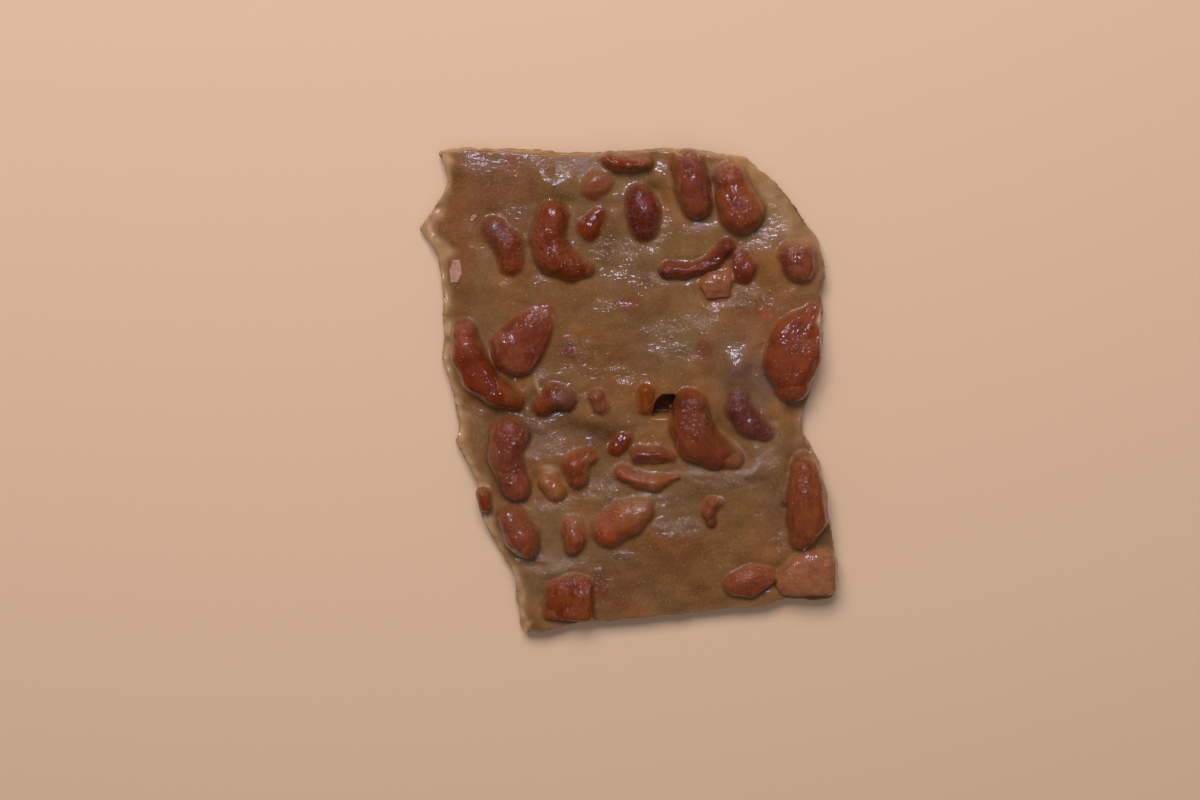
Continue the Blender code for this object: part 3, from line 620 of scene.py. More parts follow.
BROKEN = [
    Nut(
        "half_leaf", (106, 53, 38),
        corners=[
            (-20.4, 26.0), (-20.5, 21.0), (-21.6, 16.5), (-24.0, 11.5), (-27.0, 7.6), (-30.8, 6.0),
            (-34.0, 7.6), (-35.7, 11.6), (-35.4, 16.5), (-33.2, 20.8), (-27.0, 24.4),
        ],
        lobes=[(-21.9, 24.2, 1.8), (-25.2, 19.0, 5.4), (-29.6, 13.4, 6.9)],
        film=-0.06, soft=0.9, swell=0.1,
        marks=[
            (-30.7, 15.2, 0.5, 4.8, -18, -0.25), (-27.4, 19.1, 3.6, 0.5, 45, 0.25),
            (-24.9, 21.2, 1.0, 3.7, -38, 0.3), (-30.1, 8.1, 3.1, 1.3, 0, -0.35),
            (-33.8, 16.5, 1.0, 3.7, -12, 0.3),
        ],
        cuts=[
            (-27.5, 13.0, 0.9, 0.06, -0.14, 1.0),
        ],
    ),
    Nut(
        "half_rim_top", (104, 48, 30),
        lobes=[(-6.2, 62.3, 1.9), (-4.2, 61.5, 1.9), (-0.3, 61.0, 1.6), (3.1, 61.4, 1.5)],
        film=-0.04, soft=1.2,
        marks=[
            (1.5, 64.5, 2.6, 0.8, 0, 0.3), (6.4, 63.5, 2.1, 0.8, 0, -0.4),
        ],
        cuts=[
            (-1.0, 61.0, 0.4, 0.0, -0.5, 1.0),
        ],
    ),
    Nut(
        "half_wavy", (99, 47, 34),
        lobes=[
            (9.0, 34.2, 2.4), (12.4, 33.8, 1.9), (16.7, 34.6, 1.6), (20.3, 36.5, 1.8), (23.3, 39.8, 2.3),
        ],
        film=-0.06, soft=0.8,
        marks=[
            (6.6, 33.6, 1.8, 1.6, 0, 0.7), (11.2, 33.1, 1.5, 1.3, 0, -0.5),
            (15.2, 34.6, 2.1, 0.8, 20, 0.35), (19.7, 36.7, 1.0, 2.7, -60, -0.4),
            (23.4, 40.8, 1.5, 1.9, 0, 0.7), (20.6, 38.5, 2.3, 0.5, 48, 0.35),
            (17.7, 33.3, 2.1, 0.8, 0, -0.4),
        ],
    ),
    Nut(
        "half_hook", (116, 59, 36),
        lobes=[(-14.3, -20.7, 2.7), (-15.0, -17.1, 3.0), (-11.6, -14.5, 1.9), (-9.6, -15.4, 1.0)],
        film=-0.02, soft=1.4,
        marks=[
            (-14.9, -11.4, 2.1, 1.9, 0, 0.4), (-12.5, -13.3, 1.0, 1.3, 0, -0.5),
            (-15.6, -17.6, 1.5, 1.9, 0, 0.3), (-17.2, -14.1, 0.8, 2.1, 0, -0.3),
        ],
    ),
    Nut(
        "half_low_left", (118, 64, 44),
        corners=[
            (-18.2, -33.0), (-16.4, -31.2), (-14.3, -32.8), (-12.5, -37.7), (-13.6, -40.2), (-17.4, -42.4),
            (-17.4, -38.0),
        ],
        lobes=[(-15.8, -34.2, 2.8), (-15.0, -37.4, 3.0), (-15.6, -39.8, 2.5)],
        film=-0.02, soft=1.2,
    ),
    Nut(
        "half_rim_middle", (118, 60, 38),
        lobes=[(-4.9, -17.3, 0.8), (-2.6, -19.4, 1.8), (1.4, -21.3, 1.9), (6.3, -22.1, 1.8), (12.2, -20.2, 1.2)],
        film=-0.04, soft=1.2,
        marks=[
            (4.5, -22.7, 6.7, 0.5, -3, 0.3), (-2.0, -20.8, 2.1, 1.1, 0, 0.2),
            (10.2, -21.9, 2.1, 0.8, 0, -0.3),
        ],
    ),
    Nut(
        "half_middle", (106, 55, 38),
        lobes=[(-2.0, -15.1, 1.6), (1.8, -14.7, 2.1), (6.2, -14.7, 2.3), (10.0, -15.4, 1.4)],
        film=-0.06, soft=1.0,
        marks=[
            (1.9, -12.2, 2.1, 1.3, 0, 0.35), (5.7, -12.7, 1.5, 0.8, -20, -0.35),
            (8.8, -14.1, 1.8, 1.1, 0, 0.3), (4.4, -10.8, 3.1, 0.4, -15, 0.25),
        ],
        cuts=[
            (5.0, -14.0, 0.5, 0.0, -0.5, 1.0),
        ],
    ),
    Nut(
        "half_bottom", (118, 62, 42),
        corners=[
            (24.2, -49.9), (26.9, -46.8), (31.4, -45.4), (36.6, -46.1), (38.2, -48.4),
            (35.3, -50.7), (31.5, -53.5), (26.4, -53.9),
        ],
        lobes=[(27.4, -50.4, 3.4), (31.5, -49.7, 4.2), (35.0, -49.0, 3.2)],
        film=-0.06, soft=1.0, fibre=0.6,
        marks=[
            (27.7, -48.3, 2.1, 1.6, 0, 0.4), (31.3, -47.8, 3.1, 0.5, 12, 0.3),
            (30.9, -51.1, 2.6, 0.8, 10, -0.4), (34.8, -49.2, 1.5, 1.6, 0, -0.3),
            (26.9, -51.7, 1.5, 1.1, 0, -0.3),
        ],
        cuts=[
            (30.0, -50.0, 0.6, 0.1, -0.35, 1.0),
        ],
    ),
    Nut(
        "chunk_square", (110, 55, 32),
        corners=[(-21.9, -51.5), (-17.1, -48.5), (-11.2, -47.3), (-10.7, -60.1), (-22.7, -59.5)],
        lobes=[(-17.2, -55.2, 7.4), (-15.6, -55.2, 7.6)],
        film=-0.06, soft=0.8, swell=0.1, fibre=0.4,
        marks=[
            (-15.8, -49.7, 4.6, 0.5, 3, 0.35), (-17.6, -53.9, 1.5, 3.2, 0, -0.2),
            (-13.7, -56.7, 1.5, 2.7, 0, 0.2),
        ],
        cuts=[
            (-16.6, -54.4, 0.9, -0.15, -0.12, 1.0),
        ],
    ),
    Nut(
        "chip_triangle", (100, 45, 25),
        corners=[(-8.0, 51.0), (-6.8, 47.6), (-8.2, 43.9), (-11.8, 41.0), (-15.4, 43.1), (-14.9, 45.6)],
        lobes=[(-9.0, 48.0, 2.6), (-11.0, 45.0, 3.6)],
        film=-0.05, soft=1.0,
        marks=[
            (-8.4, 49.4, 2.1, 0.8, 40, 0.35), (-10.9, 46.9, 1.5, 1.6, 0, 0.2),
            (-7.9, 44.3, 1.3, 1.3, 0, -0.3),
        ],
    ),
    Nut(
        "chip_heart", (104, 50, 36),
        corners=[(24.4, 40.6), (26.6, 40.2), (31.2, 35.6), (28.6, 30.3), (25.8, 30.8), (25.2, 35.6)],
        lobes=[(25.7, 38.5, 2.7), (27.9, 34.3, 3.7)],
        film=-0.05, soft=0.9,
    ),
    Nut(
        "chip_dark", (90, 42, 28),
        lobes=[(-23.2, -1.7, 2.6), (-20.0, 0.9, 3.1), (-17.5, 0.3, 2.8)],
        film=0.0, soft=1.4,
        marks=[
            (-22.5, 0.1, 2.1, 1.1, 20, 0.4), (-19.7, -2.0, 1.5, 1.6, 0, -0.3),
            (-18.1, 1.2, 1.5, 1.6, 0, 0.3),
        ],
    ),
    Nut(
        "chip_small_middle", (110, 60, 46),
        lobes=[(-9.1, 0.6, 2.3), (-8.1, -1.7, 2.3)],
        film=-0.04, soft=1.2,
        marks=[
            (-9.7, 1.2, 1.5, 1.3, 0, 0.4), (-7.9, -0.7, 0.8, 1.6, 0, -0.3),
            (-9.5, -2.5, 1.5, 1.1, 0, 0.25),
        ],
    ),
    Nut(
        "chip_left_edge", (104, 46, 28),
        lobes=[(-38.9, -25.7, 1.9), (-38.3, -28.7, 1.8)],
        film=-0.04, soft=1.0,
        marks=[
            (-37.4, -26.3, 1.0, 1.6, 0, 0.3), (-36.4, -28.5, 0.8, 1.1, 0, -0.3),
        ],
    ),
    Nut(
        "chip_petal", (104, 48, 30),
        corners=[(-2.4, -7.4), (0.0, -9.3), (-0.9, -12.2), (-4.0, -14.8), (-6.8, -14.0)],
        lobes=[(-2.6, -10.9, 2.6), (-4.0, -12.6, 2.9)],
        film=-0.05, soft=1.0,
    ),
]
nuts += [add_nut(nut, roasted) for nut in BROKEN]

CUT_CHIPS = [
    Nut(
        "chunk_cut_face", (128, 79, 56),
        corners=[(18.8, 33.1), (24.0, 34.1), (24.7, 32.1), (24.1, 27.4), (18.9, 26.9), (16.9, 30.2)],
        lobes=[(20.4, 29.9, 4.6), (21.6, 30.2, 4.8)],
        film=-0.08, soft=0.7, swell=0.08, fibre=0.3,
        cuts=[
            (21.3, 29.4, 0.7, 0.05, -0.2, 1.0),
        ],
    ),
    Nut(
        "chip_coated", (116, 62, 44),
        lobes=[(-8.2, 56.3, 3.0), (-10.0, 55.0, 3.0)],
        film=0.0, soft=1.6,
        marks=[
            (-10.2, 56.2, 2.1, 1.6, 0, 0.3), (-7.9, 58.0, 1.3, 1.3, 0, -0.3),
            (-10.9, 54.5, 1.5, 1.1, 0, 0.2),
        ],
        cuts=[
            (-9.0, 56.0, 0.5, 0.2, 0.3, 1.0),
        ],
    ),
    Nut(
        "chip_pale", (128, 78, 48),
        lobes=[(-22.1, -22.4, 2.5), (-19.9, -24.7, 2.6)],
        film=-0.02, soft=1.4,
        marks=[
            (-21.9, -20.8, 2.1, 1.6, 0, 0.3), (-18.8, -23.5, 2.1, 1.3, -20, 0.35),
            (-20.8, -24.4, 1.3, 0.8, 0, -0.3),
        ],
    ),
    Nut(
        "chip_by_bubble", (110, 56, 26),
        lobes=[(3.5, 2.4, 2.4), (3.2, -1.8, 2.3)],
        film=-0.05, soft=1.0,
        marks=[
            (3.1, 3.3, 1.0, 2.1, 0, 0.3), (2.1, -0.7, 0.5, 2.1, 0, -0.2),
        ],
    ),
    Nut(
        "chip_curl", (118, 66, 44),
        lobes=[
            (23.0, -27.4, 1.1), (20.8, -27.6, 1.6), (19.6, -30.2, 1.6), (20.4, -33.0, 1.2), (22.2, -34.2, 0.8),
        ],
        film=-0.04, soft=1.0,
    ),
]
broken_face = nut_material("broken_nut", 0.46)
nuts += [add_nut(nut, broken_face) for nut in CUT_CHIPS]

# ---------------------------------------------------------------- sunk cashews
# Three whole nuts that went under: the candy runs over them as a film, and they show through it.

SUNK = [
    Nut(
        "cashew_sunk_left", (90, 40, 26),
        lobes=[(-35.0, 44.8, 3.1), (-31.5, 40.7, 3.5), (-30.9, 36.0, 3.3)],
        film=0.06, soft=2.4,
        marks=[
            (-33.4, 44.3, 1.5, 3.2, 10, -0.3), (-30.4, 42.3, 1.8, 3.2, 10, 0.3),
            (-31.5, 37.2, 2.1, 1.6, 0, -0.2),
        ],
    ),
    Nut(
        "cashew_sunk_top", (77, 27, 20),
        lobes=[(1.0, 52.6, 3.2), (2.4, 48.8, 4.0), (2.6, 45.0, 3.4)],
        film=0.12, soft=3.0,
        marks=[
            (4.0, 52.4, 2.1, 2.7, 0, 0.3), (1.6, 46.1, 2.1, 2.1, 0, -0.2),
        ],
    ),
    Nut(
        "cashew_sunk_right", (80, 38, 42),
        lobes=[(26.8, 1.4, 2.4), (27.3, -2.4, 3.0), (30.2, -6.4, 3.3), (33.9, -8.6, 2.4)],
        film=0.12, soft=3.0,
        marks=[
            (27.3, 0.7, 1.5, 1.6, 0, 0.4), (27.9, -4.1, 1.5, 2.1, 20, -0.3),
            (33.1, -7.9, 2.1, 1.3, 0, 0.2),
        ],
    ),
]
under_candy = nut_material("sunk_nut", 0.40)
nuts += [add_nut(nut, under_candy) for nut in SUNK]

# ---------------------------------------------------------------- candy
# Sugar, butter and syrup boiled to a hard candy, poured on a flat tray over the nuts and broken cold.
# Its face swells and sinks, climbs each nut's side as a soft lip, and runs over some of them.
# Its height is worked out on a square net of places, and a close mesh of the slab takes it up.

PITCH = 0.4  # millimetres between two places of the net
MARGIN = 10.0  # millimetres of net beyond the slab
slab_low, slab_high = (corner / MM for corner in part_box("candy"))
net_x = np.arange(slab_low.x - MARGIN, slab_high.x + MARGIN, PITCH)
net_y = np.arange(slab_low.y - MARGIN, slab_high.y + MARGIN, PITCH)
NET = (len(net_y), len(net_x))
wave_y = np.fft.fftfreq(NET[0], PITCH)[:, None]
wave_x = np.fft.rfftfreq(NET[1], PITCH)[None, :]


def blur(field, size, size_y=None):
    """The field with each place averaged with those around it, within about the size in millimetres."""
    size_y = size if size_y is None else size_y
    keep = np.exp(-2 * (math.pi**2) * ((wave_x * size) ** 2 + (wave_y * size_y) ** 2))
    return np.fft.irfft2(np.fft.rfft2(field) * keep, NET)


def tree_of(piece):
    faces = [tuple(face.vertices) for face in piece.data.polygons]
    return BVHTree.FromPolygons([vert.co / MM for vert in piece.data.vertices], faces)


def drop(piece, below=False):
    """Heights at which the net's places meet the piece from above, or from below; nan where they miss."""
    tree = tree_of(piece)
    low, high = points_of(piece).min(axis=0) / MM, points_of(piece).max(axis=0) / MM
    start, way = (-5.0, Vector((0, 0, 1))) if below else (30.0, Vector((0, 0, -1)))
    heights = np.full(NET, np.nan)
    for i in np.flatnonzero((net_y > low[1] - PITCH) & (net_y < high[1] + PITCH)):
        for j in np.flatnonzero((net_x > low[0] - PITCH) & (net_x < high[0] + PITCH)):
            hit = tree.ray_cast(Vector((net_x[j], net_y[i], start)), way)[0]
            if hit is not None:
                heights[i, j] = hit.z
    return heights


def spread_over(values, known, size):
    """The known values averaged within the size, and carried on over the places where none is known."""
    return blur(np.where(known, values, 0.0), size) / np.maximum(blur(known * 1.0, size), 1e-6)


def at(field, points):
    """The field's values at points given in metres."""
    x = np.clip((points[:, 0] / MM - net_x[0]) / PITCH, 0, NET[1] - 1.001)
    y = np.clip((points[:, 1] / MM - net_y[0]) / PITCH, 0, NET[0] - 1.001)
    i, j = y.astype(int), x.astype(int)
    v, u = y - i, x - j
    upper = (1 - u) * field[i, j] + u * field[i, j + 1]
    lower = (1 - u) * field[i + 1, j] + u * field[i + 1, j + 1]
    return (1 - v) * upper + v * lower


rng = np.random.default_rng(11)


def ripples(size, size_y=None):
    """Even-handed random swells of the given size, with a spread of 1."""
    field = blur(rng.normal(size=NET), size, size_y)
    return field / field.std()


def stepped(field, low, high):
    """0 below low, 1 above high, and smooth between."""
    share = np.clip((field - low) / (high - low), 0, 1)
    return share * share * (3 - 2 * share)


# The nuts' tops over the net, and what each brings to the candy near it.
all_nuts = CASHEWS + BROKEN + CUT_CHIPS + SUNK
nut_top = np.full(NET, -9.0)
nearest = np.zeros(NET, int)
for index, piece in enumerate(nuts):
    here = np.nan_to_num(drop(piece), nan=-9.0)
    nearest = np.where(here > nut_top, index, nearest)
    nut_top = np.maximum(nut_top, here)
nut_there = nut_top > 0
nut_clear = spread_over(np.where(nearest >= len(all_nuts) - len(SUNK), 1.1, 0.8), nut_there, 0.8)
nut_film = spread_over(np.array([nut.film for nut in all_nuts])[nearest], nut_there, 0.8)
nut_soft = spread_over(np.array([nut.soft for nut in all_nuts])[nearest], nut_there, 0.8)
nut_tint_shade_and_sheen = [spread_over(band[nearest], nut_there, 0.8) for band in np.array([painted(*n.colour) for n in all_nuts]).T]

# The candy's own face: what the solid's face says between the nuts, carried on under them.
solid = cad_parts["candy"]
solid_top = drop(solid)
outline = np.isfinite(drop(solid, below=True)) * 1.0
pocket = blur(nut_there * 1.0, 0.5) > 0.02
bubble = np.isfinite(solid_top) & (solid_top < 2.5) & ~pocket
known = np.isfinite(solid_top) & ~pocket & ~(blur(bubble * 1.0, 0.6) > 0.02) & (blur(outline, 0.4) > 0.9)
close, wide = spread_over(solid_top, known, 1.1), spread_over(solid_top, known, 4.0)
trust = np.clip(blur(known * 1.0, 1.1) * 2.5, 0, 1)
face = trust * close + (1 - trust) * wide
within = np.clip((blur(outline, 1.5) - 0.5) * 2.2, 0, 1)  # 0 at the broken edge, 1 well inside

# Lumps, ridges and hollows of the candy's face.
FACE_MARKS = [
    (-19.6, 59.1, 5.6, 5.1, 0, 0.9), (-19.4, 59.1, 2.3, 2.1, 0, -0.9), (10.4, -40.8, 8.2, 6.2, 0, 1.1),
    (32.5, -18.8, 6.7, 1.8, 12, 0.7), (41.0, -27.0, 1.5, 6.2, 0, -0.8), (26.6, 9.1, 3.6, 3.3, 0, 0.6),
    (22.7, 7.5, 1.8, 4.6, 10, -0.7), (30.4, 7.5, 1.3, 2.6, 30, -0.6), (16.7, 39.8, 8.7, 2.6, 0, -0.6),
    (-7.9, -9.4, 6.7, 3.1, -10, -0.9), (-19.4, 51.3, 6.7, 1.5, 0, -0.6),
    (-5.9, 50.8, 3.6, 1.3, 0, -0.5), (-34.7, 13.3, 0.8, 3.1, 10, -1.4),
    (20.0, 54.6, 0.8, 2.6, 0, -1.0), (3.4, 0.4, 2.4, 4.2, 0, -0.8), (-24.2, 3.0, 0.5, 2.4, 18, 0.6), (26.8, -32.5, 10.3, 6.7, 0, 0.7),
    (-22.9, -46.9, 6.2, 2.1, 10, 0.6), (-8.4, 14.6, 12.8, 6.7, 0, 0.5), (28.4, 21.7, 7.7, 4.6, 0, 0.5),
    (34.0, 57.1, 2.6, 6.7, -35, 0.5), (-41.2, 36.7, 4.1, 10.3, 0, 0.4),
    (-11.6, -50.6, 5.1, 6.7, 0, -0.5), (41.5, -18.8, 1.0, 5.1, 0, -1.0),
    (21.4, -19.4, 7.7, 1.3, 8, 0.6), (-25.7, -10.7, 1.3, 3.6, 0, -0.6), (1.9, -8.0, 2.1, 2.6, 0, -0.6),
    (48.6, 12.0, 1.0, 9.0, 0, -2.6), (4.0, -26.2, 8.7, 1.0, 5, 0.4), (-14.9, -25.6, 2.1, 3.6, 0, -0.5),
]
x_places, y_places = net_x[None, :], net_y[:, None]
grit = grit_at(x_places, y_places)
grit = np.clip(grit + 0.25 * stepped(ripples(3.0), 0.6, 1.8), 0, 1)
relief = 0.34 * ripples(4.5) + 0.12 * ripples(2.2, 2.0) + 0.04 * ripples(1.0, 0.8)
relief += grit * (0.14 * ripples(1.4, 0.6) + 0.07 * ripples(0.7, 0.5))
relief *= 1 - lift_at(x_places, y_places, [Mark(-37.0, 57.0, 10.0, 9.0, 0, 0.85)])
proud = (nut_top > face + 0.1) * 1.0
climb = (0.3 + 0.3 * ripples(3.5)) * np.clip(nut_soft, 0.4, 1.6) - 0.25 * (nut_soft < 1.0) - 0.35 * (1 - within)
moat = np.clip(1.35 + 0.5 * ripples(5.0), 0.4, None)
ground = face + relief * (0.3 + 0.7 * within) + lift_at(x_places, y_places, [Mark(*m) for m in FACE_MARKS])
ground += climb * blur(proud, 0.8) - moat * blur(proud, 1.9) + 0.9 * blur(proud, 3.6)

# Patches where the candy runs over a side or an end of a nut: place, reach and thickness.
Film = namedtuple("Film", "x y long wide turn thick")
FILMS = [
    Film(-37.2, -12.0, 1.8, 8.0, 10, 0.5),
    Film(-31.5, -31.0, 4.0, 3.2, 20, 0.3),
    Film(2.2, -28.0, 4.2, 6.5, -40, 1.1),
    Film(10.0, 60.0, 1.8, 6.0, 0, 0.6),
    Film(13.5, 66.0, 5.0, 3.0, 0, 0.5),
    Film(32.2, 53.0, 2.2, 8.0, 15, 0.7),
    Film(41.5, 42.4, 6.0, 2.6, 0, 0.5),
    Film(-19.4, -36.0, 1.4, 4.0, 0, 0.4),
    Film(-16.6, 0.8, 2.6, 3.6, 0, 0.5),
    Film(-10.5, 58.5, 4.5, 2.6, 0, 0.5),
    Film(-46.9, 13.0, 1.6, 9.0, 20, 0.6),
    Film(-27.0, 4.6, 6.0, 2.6, 20, 0.6),
    Film(-24.8, 43.0, 1.6, 7.0, 0, 0.4),
    Film(-27.0, -41.5, 3.6, 2.4, 10, 0.35),
    Film(-31.0, -26.0, 3.0, 2.0, 10, 0.3),
    Film(-10.0, -19.0, 2.2, 5.0, 0, 0.5),
    Film(3.0, -20.6, 6.5, 1.5, -3, 0.8),
    Film(-9.6, 33.6, 2.4, 2.2, 0, 0.4),
    Film(45.0, 1.2, 3.4, 2.0, 0, 0.4),
    Film(23.6, -31.4, 1.6, 2.4, -20, 0.6),
    Film(-24.5, -19.0, 3.0, 2.4, 0, 0.5),
    Film(28.0, -16.8, 3.4, 2.6, 0, 0.7),
    Film(-35.0, 19.0, 1.6, 5.0, 0, 0.3),
    Film(17.0, -52.0, 3.0, 2.0, 0, 0.4),
]
film = nut_film + 0.05 * ripples(2.0)
for patch in FILMS:
    cover = lift_at(x_places, y_places, [Mark(*patch[:5], 2.0)]) - 0.3 + 0.2 * ripples(1.0)
    cover = np.clip(cover, 0, 1)
    film = film + (patch.thick - film) * cover

# Where the face and the film over a nut meet, the one runs into the other over the nut's softness.
smooth_top = spread_over(nut_top, nut_there, 0.8)
thick_film = stepped(film, 0.05, 0.35)
over_nut = np.where(nut_there, nut_top + (smooth_top - nut_top) * thick_film + film, -9.0)
gap = np.abs(ground - over_nut)
blend = np.clip(nut_soft * (0.9 + 0.25 * ripples(2.5)), 0.3, 3.0)
height = np.maximum(ground, over_nut) + blend / 4 * np.clip(1 - gap / blend, 0, 1) ** 2
bare = nut_there & (over_nut > ground)
height -= 0.35 * bare * stepped(gap / blend, 0.9, 1.5) * stepped(-film, 0.0, 0.05)
rim = stepped(-blur(outline, 1.2), -0.93, -0.55) * (0.8 + 0.25 * ripples(1.5))
slope_y, slope_x = np.gradient(blur(outline, 2.0))
faces_left = stepped(slope_x / (np.hypot(slope_x, slope_y) + 1e-4), 0.3, 0.7)
left_rim = stepped(-blur(outline, 2.4) + 0.05 * ripples(1.6), -0.97, -0.74) * faces_left
height = blur(height, 0.3) - 0.7 * np.clip(rim, 0, 1.2) ** 2 - (0.8 + 0.3 * ripples(1.0)) * left_rim

# The top right edge broke at a slant, and shows a sloping pale face.
SLANT = Mark(35.5, 50.5, 0, 0, -47.0, 0.62)
slant_turn = math.radians(SLANT.turn)
beyond = (x_places - SLANT.x) * -math.sin(slant_turn) + (y_places - SLANT.y) * math.cos(slant_turn)
beyond = beyond + 0.5 * ripples(3.0) + 0.25 * ripples(1.0)
slanted = stepped(beyond, -0.1, 0.5) * stepped(x_places, 22.0, 26.0)
height -= SLANT.lift * np.clip(beyond, 0, None) * stepped(x_places, 22.0, 26.0)

# A burst bubble: a ragged wedge-shaped hole, its floor painted dark for the shade in it.
HOLE = [(4.9, -3.3), (6.0, -0.6), (7.3, 1.1), (10.4, 1.6), (11.6, 0.2), (11.4, -1.9), (9.6, -4.4), (5.2, -4.7)]
HOLE_FLOOR = 1.6
inside = np.ones(NET, bool)
for (ax, ay), (bx, by) in zip(HOLE, HOLE[1:] + HOLE[:1]):
    inside &= (bx - ax) * (y_places - ay) - (by - ay) * (x_places - ax) < 0
hole = stepped(blur(inside * 1.0, 0.35) + 0.04 * ripples(0.8), 0.35, 0.65)

# Where the face set duller: place, reach and by how much. The hole is dull too.
DULL = [Mark(-31.5, 41.0, 4.5, 6.5, 0, 0.4), Mark(-37.0, 60.5, 9.0, 3.5, 0, 0.35), Mark(39.3, 44.2, 4.0, 4.0, 0, 0.3), Mark(-12.4, 60.2, 3.2, 4.0, 0, 0.5)]
dry = np.clip(hole + lift_at(x_places, y_places, DULL), 0, 1)
height = height * (1 - hole) + hole * (HOLE_FLOOR + 0.4 * (y_places + 1.7) + 0.1 * ripples(1.0))

# Colours: the candy's own, its stains, painted shade in hollows and along nuts, a painted sheen where the coat is
# pocked, the nuts through a thin film, the pale broken rim and the hole's floor painted dark.
ColourPatch = namedtuple("ColourPatch", "x y long wide turn colour share")
STAINS_AND_PAINTED_SHADE = [
    ColourPatch(-38.0, 54.0, 14.0, 12.0, 0, (98, 60, 35), 0.85),
    ColourPatch(39.3, 44.2, 3.2, 2.8, 0, (100, 68, 52), 0.8),
    ColourPatch(-12.4, 60.2, 2.6, 3.0, 0, (96, 62, 52), 0.5),
    ColourPatch(-44.0, 40.0, 5.0, 14.0, 0, (116, 73, 46), 0.8),
    ColourPatch(36.0, 50.0, 3.2, 16.0, 35, (134, 101, 70), 0.9),
    ColourPatch(26.0, 62.5, 8.0, 2.6, -25, (138, 98, 60), 0.8),
    ColourPatch(44.0, 36.0, 3.0, 6.0, 20, (136, 100, 76), 0.6),
    ColourPatch(46.0, -6.0, 3.0, 7.0, 15, (144, 108, 80), 0.8),
    ColourPatch(37.0, 6.0, 7.0, 6.0, 0, (104, 78, 72), 0.7),
    ColourPatch(27.0, 8.8, 3.2, 2.6, 0, (98, 68, 66), 0.8),
    # Painted shade in a hollow of the face.
    ColourPatch(-8.0, -9.0, 6.0, 3.2, 0, (76, 49, 31), 0.9),
    ColourPatch(-22.0, -2.0, 8.0, 5.0, 0, (88, 54, 36), 0.6),
    # Painted shade in the valley beside the nuts.
    ColourPatch(-14.5, -6.5, 4.0, 2.5, 0, (84, 56, 36), 0.7),
    # Painted shade in the valley between two nuts.
    ColourPatch(-7.0, 41.0, 3.0, 8.0, 0, (90, 58, 40), 0.7),
    ColourPatch(10.5, -41.5, 7.0, 5.0, 0, (112, 66, 42), 0.8),
    ColourPatch(22.0, -42.0, 12.0, 8.0, 0, (113, 76, 43), 0.7),
    ColourPatch(28.0, -31.0, 9.0, 7.0, 0, (122, 86, 54), 0.6),
    ColourPatch(-6.0, 28.0, 14.0, 5.0, 0, (110, 75, 44), 0.6),
    ColourPatch(17.0, 40.0, 8.0, 3.5, 0, (115, 84, 48), 0.8),
    # Painted shade in the hollow above a nut.
    ColourPatch(-19.0, 51.5, 5.0, 2.0, 0, (100, 78, 42), 0.7),
    ColourPatch(33.0, 22.0, 9.0, 8.0, 0, (118, 72, 44), 0.6),
    ColourPatch(-10.0, 9.0, 12.0, 7.0, 0, (106, 68, 38), 0.6),
    ColourPatch(-20.0, -40.0, 8.0, 14.0, 0, (112, 86, 62), 0.6),
    ColourPatch(-5.0, -50.0, 8.0, 6.0, 0, (103, 66, 44), 0.6),
    ColourPatch(0.0, -30.0, 10.0, 4.0, 0, (112, 84, 62), 0.5),
    ColourPatch(38.0, -28.0, 4.0, 9.0, 0, (102, 72, 52), 0.6),
    ColourPatch(-46.0, -2.0, 3.0, 9.0, 15, (140, 104, 74), 0.6),
    ColourPatch(-39.0, -24.0, 2.4, 9.0, 30, (136, 96, 64), 0.6),
    ColourPatch(-16.3, 13.0, 1.6, 2.2, 20, (98, 46, 40), 0.8),
    ColourPatch(-0.8, 25.6, 3.2, 1.8, 0, (112, 56, 38), 0.7),
    ColourPatch(18.1, 13.5, 2.0, 3.0, 20, (104, 54, 38), 0.8),
    ColourPatch(33.7, 22.7, 2.2, 1.4, 0, (124, 62, 34), 0.8),
    ColourPatch(28.3, 23.0, 1.2, 0.9, 0, (122, 62, 34), 0.6),
    ColourPatch(17.9, -52.0, 3.0, 2.0, 0, (104, 60, 38), 0.6),
    ColourPatch(-3.2, -56.2, 3.0, 1.6, 0, (106, 60, 38), 0.7),
    ColourPatch(-8.4, -51.4, 1.8, 3.6, 25, (100, 50, 32), 0.8),
    ColourPatch(-21.4, -18.4, 1.9, 0.8, -14, (156, 130, 96), 0.7),
    ColourPatch(-30.1, 61.4, 2.0, 1.6, 0, (112, 56, 40), 0.6),
    # Painted shade along the lower side of a nut.
    ColourPatch(3.2, 32.1, 1.2, 1.2, 0, (84, 40, 30), 0.6),
    ColourPatch(-25.6, 55.8, 0.7, 4.0, 0, (110, 58, 56), 0.7),
    ColourPatch(-24.2, 3.0, 0.4, 2.2, 18, (150, 122, 88), 0.8),
    # A pinhole, painted as a dark dot for the shade inside it.
    ColourPatch(39.4, -28.1, 0.6, 0.7, 0, (40, 22, 16), 1.0),
]
shade = 1 + 0.07 * ripples(6.0) + 0.05 * ripples(1.6)
patchy = stepped(ripples(4.5, 4.0), -1.4, 1.4)
amber, olive = painted(119, 79, 46), painted(108, 79, 52)
own = [(low + (high - low) * patchy) * shade for low, high in zip(amber, olive)]
# Painted sheen: a pale lilac haze over the candy's colour where its coat is pocked.
own = [band + (value - band) * 0.08 * np.clip(grit - 0.2, 0, 1) for band, value in zip(own, painted(150, 136, 138))]
for colour_patch in STAINS_AND_PAINTED_SHADE:
    share = lift_at(x_places, y_places, [Mark(*colour_patch[:5], 1.0)])
    share = np.clip(1.25 * share * (1 + 0.2 * ripples(1.2)), 0, 1) * colour_patch.share
    own = [band + (value - band) * share for band, value in zip(own, painted(*colour_patch.colour))]
plain = list(own)
